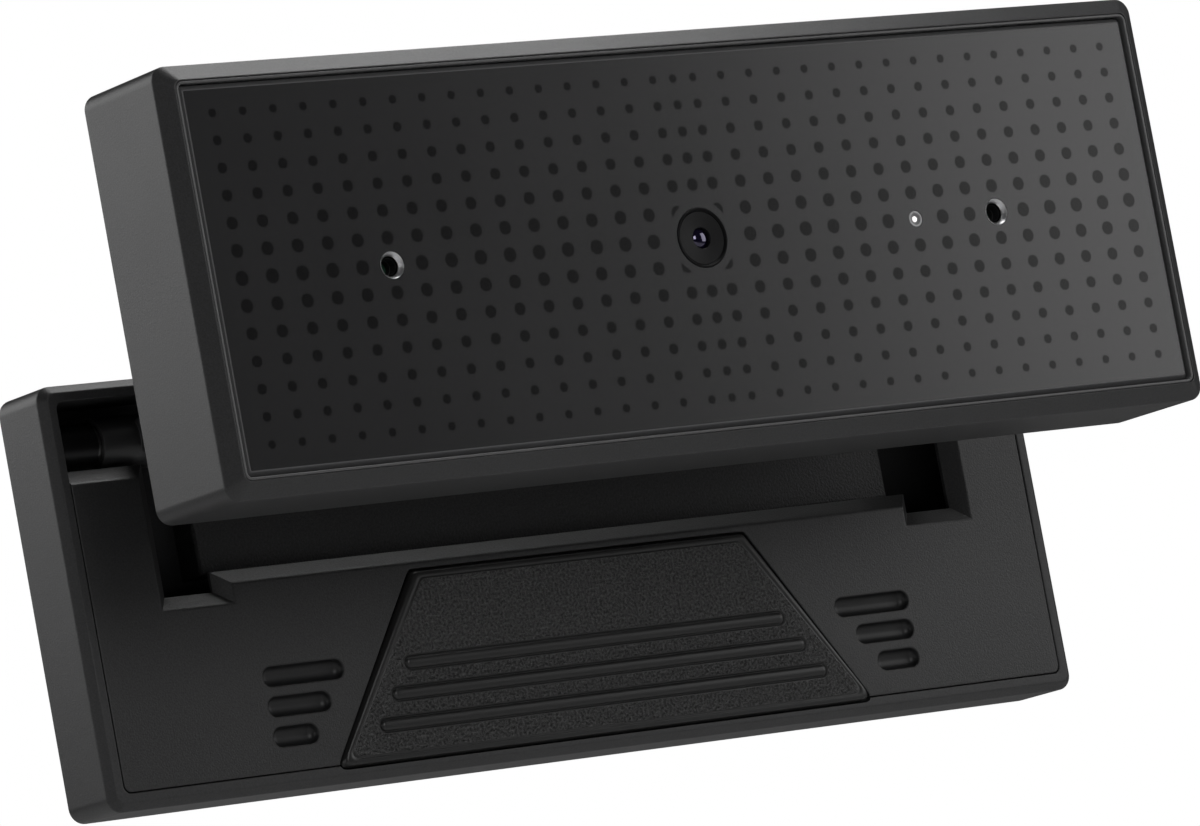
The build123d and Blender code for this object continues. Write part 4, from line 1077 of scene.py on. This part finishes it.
def stadium(x_low, x_high, drop, radius, steps=12):
    """The outline of a slot with round ends, as (x, drop)."""
    outline = []
    for centre, first in ((x_high, -90), (x_low, 90)):
        for step in range(steps + 1):
            angle = math.radians(first + 180 * step / steps)
            outline.append((centre + radius * math.cos(angle), drop + radius * math.sin(angle)))
    return outline


face_plastic = skinned(
    "face_plastic", (0.028, 0.028, 0.0285), (0.2, 0.2, 0.201), 0.42, 0.28, 0.04, 0.2, 0.06,
    speckle=1.6,
)
# The slot walls and floors take a darker copy of the face plastic: painted shade in the slots.
# Its much lighter edge colour paints a highlight on their lips.
scooped_plastic = skinned(
    "scooped_plastic", (0.009, 0.009, 0.0095), (0.16, 0.16, 0.161), 0.45, 0.3, 0.006, 0.15, 0.05
)
pocket_edge = [(x, drop) for x, drop in pad_loop(PAD_GAP) if drop < PANEL_BOTTOM_DROP - 0.05]
left_half = sorted([p for p in pocket_edge if p[0] < 0], key=lambda p: -p[1])
right_half = sorted([p for p in pocket_edge if p[0] > 0], key=lambda p: p[1])
panel_corner_points = []
panel_corner_kinds = []
for x, drop, kind in (
    (-PANEL_HALF_WIDTH, TROUGH_DROP, "recess"), (-RECESS_HALF_WIDTH, TROUGH_DROP, "recess"),
    (-RECESS_HALF_WIDTH, POCKET_DROP, "recess"), (-POCKET_INNER_X, POCKET_DROP, "recess"),
    (-POCKET_INNER_X, LIP_DROP, "recess"), (POCKET_INNER_X, LIP_DROP, "recess"),
    (POCKET_INNER_X, POCKET_DROP, "recess"), (RECESS_HALF_WIDTH, POCKET_DROP, "recess"),
    (RECESS_HALF_WIDTH, TROUGH_DROP, "recess"), (PANEL_HALF_WIDTH, TROUGH_DROP, "outer"),
):
    panel_corner_points.append((x, drop))
    panel_corner_kinds.append(kind)
for side in (1, -1):
    for step in range(CORNER_STEPS + 1):
        angle = math.radians(90 * step / CORNER_STEPS)
        if side < 0:
            angle += math.radians(90)
        panel_corner_points.append((
            side * (PANEL_HALF_WIDTH - PANEL_CORNER) + PANEL_CORNER * math.cos(angle),
            PANEL_BOTTOM_DROP - PANEL_CORNER + PANEL_CORNER * math.sin(angle),
        ))
        panel_corner_kinds.append("outer")
    if side > 0:
        notch_edge = [
            (right_half[-1][0] + 0.1, PANEL_BOTTOM_DROP), *reversed(right_half),
            *reversed(left_half), (left_half[0][0] - 0.1, PANEL_BOTTOM_DROP),
        ]
        for point in notch_edge:
            panel_corner_points.append(point)
            panel_corner_kinds.append("pocket")
        panel_corner_kinds[-1] = "outer"

panel_mesh = bmesh.new()
panel_rings = []
for depth, outer, recess in PANEL_EDGE_SECTION:
    amounts = {"outer": outer, "pocket": outer, "recess": recess}
    ring = offset_outline(panel_corner_points, panel_corner_kinds, amounts)
    panel_rings.append(put_clamp_ring(panel_mesh, ring, depth))
join_rings(panel_mesh, panel_rings, closed=False)
slot_mouths = []
for drop, inner in zip(SLOT_DROPS, SLOT_INNER_X):
    for side in (-1, 1):
        low_end, high_end = sorted((
            side * (inner + SLOT_HALF_BREADTH), side * (SLOT_OUTER_X - SLOT_HALF_BREADTH)
        ))
        scoop = []
        for grow, depth in SLOT_SECTION:
            outline = stadium(low_end, high_end, drop, SLOT_HALF_BREADTH + grow)
            scoop.append(put_clamp_ring(panel_mesh, outline, depth))
        plain_faces = set(panel_mesh.faces)
        join_rings(panel_mesh, scoop, closed=False)
        panel_mesh.faces.new(scoop[-1])
        for face in set(panel_mesh.faces) - plain_faces:
            face.material_index = 1
        slot_mouths.append(scoop[0])
fill_plate(panel_mesh, [panel_rings[0], *slot_mouths])
fill_plate(panel_mesh, [panel_rings[-1]])
floor_loop = [(x, min(drop, PANEL_BOTTOM_DROP)) for x, drop in pad_loop(PAD_GAP + 0.02)]
floor_rings = [
    put_clamp_ring(panel_mesh, floor_loop, depth) for depth in (PAD_POCKET, PANEL_THICKNESS)
]
join_capped(panel_mesh, floor_rings)
panel = settle(panel_mesh, "clamp_face_plate", face_plastic)
panel.data.materials.append(scooped_plastic)
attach(panel, "clamp")
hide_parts("clamp_face_panel")

# Recess platform: a raised cover at the back of the well, between the two leg columns,
# moulded with a coarse spark-eroded texture.

spark_textured = skinned(
    "spark_textured", (0.018, 0.018, 0.0185), (0.06, 0.06, 0.06), 0.5, 0.4, 0.25, 0.5, 0.08,
    speckle=3.0,
)
finish_nodes(spark_textured, "recess_platform")
finish_nodes(tinned_steel, "clamp_stiffener")

# Grip pad: a moulded rubber pad glued in its pocket. Its field is grained, and three smooth
# round ribs, each with a fine groove along both sides, grip the back of the screen.

PAD_PROUD = 0.6
RIB_DROPS = (46.6, 51.0, 55.4)
RIB_HALF_LENGTHS = (35.3, 38.5, 41.6)
RIB_HALF_BREADTH = 0.85
PAD_SECTION = (
    (0.0, PAD_POCKET), (0.0, 0.3), (0.12, 0.12), (0.2, -0.1), (0.26, -0.34), (0.38, -0.5),
    (0.56, -0.58), (0.8, -PAD_PROUD), (1.0, -PAD_PROUD), (1.1, -0.54), (1.2, -0.52),
    (1.32, -0.54), (1.42, -PAD_PROUD),
)
RIB_SECTION = (
    (0.45, -PAD_PROUD), (0.3, -0.56), (0.18, -0.44), (0.08, -0.38), (0.02, -0.42),
    (-0.03, -PAD_PROUD), (-0.12, -0.76), (-0.28, -0.87), (-0.5, -0.93), (-0.8, -0.95),
)

grained_rubber = skinned(
    "grained_rubber", (0.058, 0.058, 0.058), (0.07, 0.07, 0.07), 0.36, 0.42, 1.2, 0.1, 0.08,
    speckle=6.0,
)
smooth_rubber = skinned(
    "smooth_rubber", (0.016, 0.016, 0.016), (0.16, 0.16, 0.16), 0.34, 0.3, 0.01, 0.12, 0.05
)
pad_mesh = bmesh.new()
pad_rings = [
    put_clamp_ring(pad_mesh, pad_loop(-inset), depth) for inset, depth in PAD_SECTION
]
join_rings(pad_mesh, pad_rings, closed=False)
pad_mesh.faces.new(pad_rings[0])
for face in pad_mesh.faces:
    face.material_index = 1
rib_mouths = []
for drop, half_length in zip(RIB_DROPS, RIB_HALF_LENGTHS):
    reach = half_length - RIB_HALF_BREADTH
    rib = [
        put_clamp_ring(pad_mesh, stadium(-reach, reach, drop, RIB_HALF_BREADTH + grow), depth)
        for grow, depth in RIB_SECTION
    ]
    before = set(pad_mesh.faces)
    join_rings(pad_mesh, rib, closed=False)
    pad_mesh.faces.new(rib[-1])
    for face in set(pad_mesh.faces) - before:
        face.material_index = 1
    rib_mouths.append(rib[0])
fill_plate(pad_mesh, [pad_rings[-1], *rib_mouths])
pad = settle(pad_mesh, "rubber_grip_pad", grained_rubber)
pad.data.materials.append(smooth_rubber)
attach(pad, "clamp")
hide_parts("grip_pad")

# Clamp hinge: black steel blocks at the ends of the trough hold ground steel pins and
# spring washers. Four screws go from the back of the shell into the face panel.

CLAMP_SCREW_TOP = 12.7
CLAMP_SHANK = 9.9

finish_nodes(black_oxide, "clamp_hinge_brackets")
finish_nodes(ground_steel, "clamp_hinge_pins", "clamp_hinge_washers")
clamp_screws = driven_screws("clamp_back_screws", [
    (side * BOSS_X, CLAMP_SCREW_TOP, CLAMP_TOP - drop)
    for side in (-1, 1) for drop in CLAMP_BOSS_DROPS
], CLAMP_SHANK, (0.0, 0.0, 0.0))
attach(clamp_screws, "clamp")
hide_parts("clamp_screws")

# Floor: a plain pale sheet well below the object, which also throws soft light up on it.
# It shows a little paler than it is lit, so that it stays pale out to its far edge.

FLOOR_LEVEL = -0.135
FLOOR_LIFT = 0.34

pale_sheet = bpy.data.materials.new("pale_sheet")
pale_sheet.use_nodes = True
sheet_tree = pale_sheet.node_tree
sheet_place = sheet_tree.nodes.new("ShaderNodeTexCoord")
sheet_grain = sheet_tree.nodes.new("ShaderNodeTexNoise")
sheet_grain.inputs["Scale"].default_value = 60.0
sheet_tree.links.new(sheet_place.outputs["Object"], sheet_grain.inputs["Vector"])
sheet_shade = sheet_tree.nodes.new("ShaderNodeValToRGB")
sheet_shade.color_ramp.elements[0].color = (0.80, 0.80, 0.80, 1)
sheet_shade.color_ramp.elements[1].color = (0.84, 0.84, 0.84, 1)
sheet_tree.links.new(sheet_grain.outputs["Fac"], sheet_shade.inputs["Fac"])
sheet_shader = sheet_tree.nodes["Principled BSDF"]
sheet_shader.inputs["Roughness"].default_value = 0.9
sheet_tree.links.new(sheet_shade.outputs["Color"], sheet_shader.inputs["Base Color"])
sheet_path = sheet_tree.nodes.new("ShaderNodeLightPath")
sheet_lift = calculation(sheet_tree, "MULTIPLY", sheet_path.outputs["Is Camera Ray"], FLOOR_LIFT)
sheet_shader.inputs["Emission Color"].default_value = (1, 1, 1, 1)
sheet_tree.links.new(sheet_lift, sheet_shader.inputs["Emission Strength"])
floor_data = bpy.data.meshes.new("floor")
floor_data.from_pydata(
    [(-3, -3, FLOOR_LEVEL), (3, -3, FLOOR_LEVEL), (3, 3, FLOOR_LEVEL), (-3, 3, FLOOR_LEVEL)],
    [], [(0, 1, 2, 3)],
)
floor_data.materials.append(pale_sheet)
floor = bpy.data.objects.new("floor", floor_data)
bpy.context.scene.collection.objects.link(floor)

# Studio light: a white surround behind everything, and soft panels that make the long
# highlights along the slopes and the even shade across the glass.

SURROUND_LIGHT = 0.015
OBJECT_CENTRE = Vector((0.0, -0.02, 0.03))

world = bpy.data.worlds.new("studio")
bpy.context.scene.world = world
world.use_nodes = True
world_tree = world.node_tree
world_tree.nodes.clear()
seen = world_tree.nodes.new("ShaderNodeBackground")
seen.inputs["Strength"].default_value = 1.0
seen.inputs["Color"].default_value = (1, 1, 1, 1)
lit = world_tree.nodes.new("ShaderNodeBackground")
lit.inputs["Color"].default_value = (1, 1, 1, 1)
lit.inputs["Strength"].default_value = SURROUND_LIGHT
path = world_tree.nodes.new("ShaderNodeLightPath")
blend = world_tree.nodes.new("ShaderNodeMixShader")
world_out = world_tree.nodes.new("ShaderNodeOutputWorld")
world_tree.links.new(path.outputs["Is Camera Ray"], blend.inputs["Fac"])
world_tree.links.new(lit.outputs[0], blend.inputs[1])
world_tree.links.new(seen.outputs[0], blend.inputs[2])
world_tree.links.new(blend.outputs[0], world_out.inputs["Surface"])


def soft_panel(name, azimuth, elevation, distance, width, height, watts):
    """A square of light aimed at the object. Azimuth 0 is in front and 90 to the right."""
    around = math.radians(azimuth)
    up = math.radians(elevation)
    data = bpy.data.lights.new(name, "AREA")
    data.shape = "RECTANGLE"
    data.size = width
    data.size_y = height
    data.energy = watts
    panel_light = bpy.data.objects.new(name, data)
    towards = Vector((
        math.sin(around) * math.cos(up), -math.cos(around) * math.cos(up), math.sin(up)
    ))
    panel_light.location = OBJECT_CENTRE + towards * distance
    panel_light.rotation_mode = "QUATERNION"
    panel_light.rotation_quaternion = towards.to_track_quat("Z", "Y")
    bpy.context.scene.collection.objects.link(panel_light)


soft_panel("near_top_panel", 90, 71.6, 0.285, 0.16, 0.16, 0.46)
soft_panel("left_back_panel", -140, 24, 0.6, 0.4, 0.4, 1.35)
soft_panel("left_front_panel", -82, 6, 0.8, 0.2, 0.4, 0.5)
soft_panel("right_front_panel", 57, 12, 0.7, 0.42, 0.4, 0.94)
soft_panel("front_panel", -8, 16, 0.9, 0.35, 0.3, 1.5)

# Camera: a long lens in front, to the left of the object and a little under it, turned
# so that the object leans to the right.

CAMERA_LENS = 257.89
CAMERA_FRAME = 36.0
CAMERA_PLACE = (-0.75854, -1.04348, -0.11483)
CAMERA_RAISED = 96.3758
CAMERA_ROLLED = 10.3866
CAMERA_TURNED = -35.1535

camera_data = bpy.data.cameras.new("camera")
camera_data.lens = CAMERA_LENS
camera_data.sensor_width = CAMERA_FRAME
camera = bpy.data.objects.new("camera", camera_data)
camera.location = CAMERA_PLACE
camera.rotation_euler = [
    math.radians(angle) for angle in (CAMERA_RAISED, CAMERA_ROLLED, CAMERA_TURNED)
]
bpy.context.scene.collection.objects.link(camera)
bpy.context.scene.camera = camera
bpy.context.scene.view_settings.view_transform = "Standard"
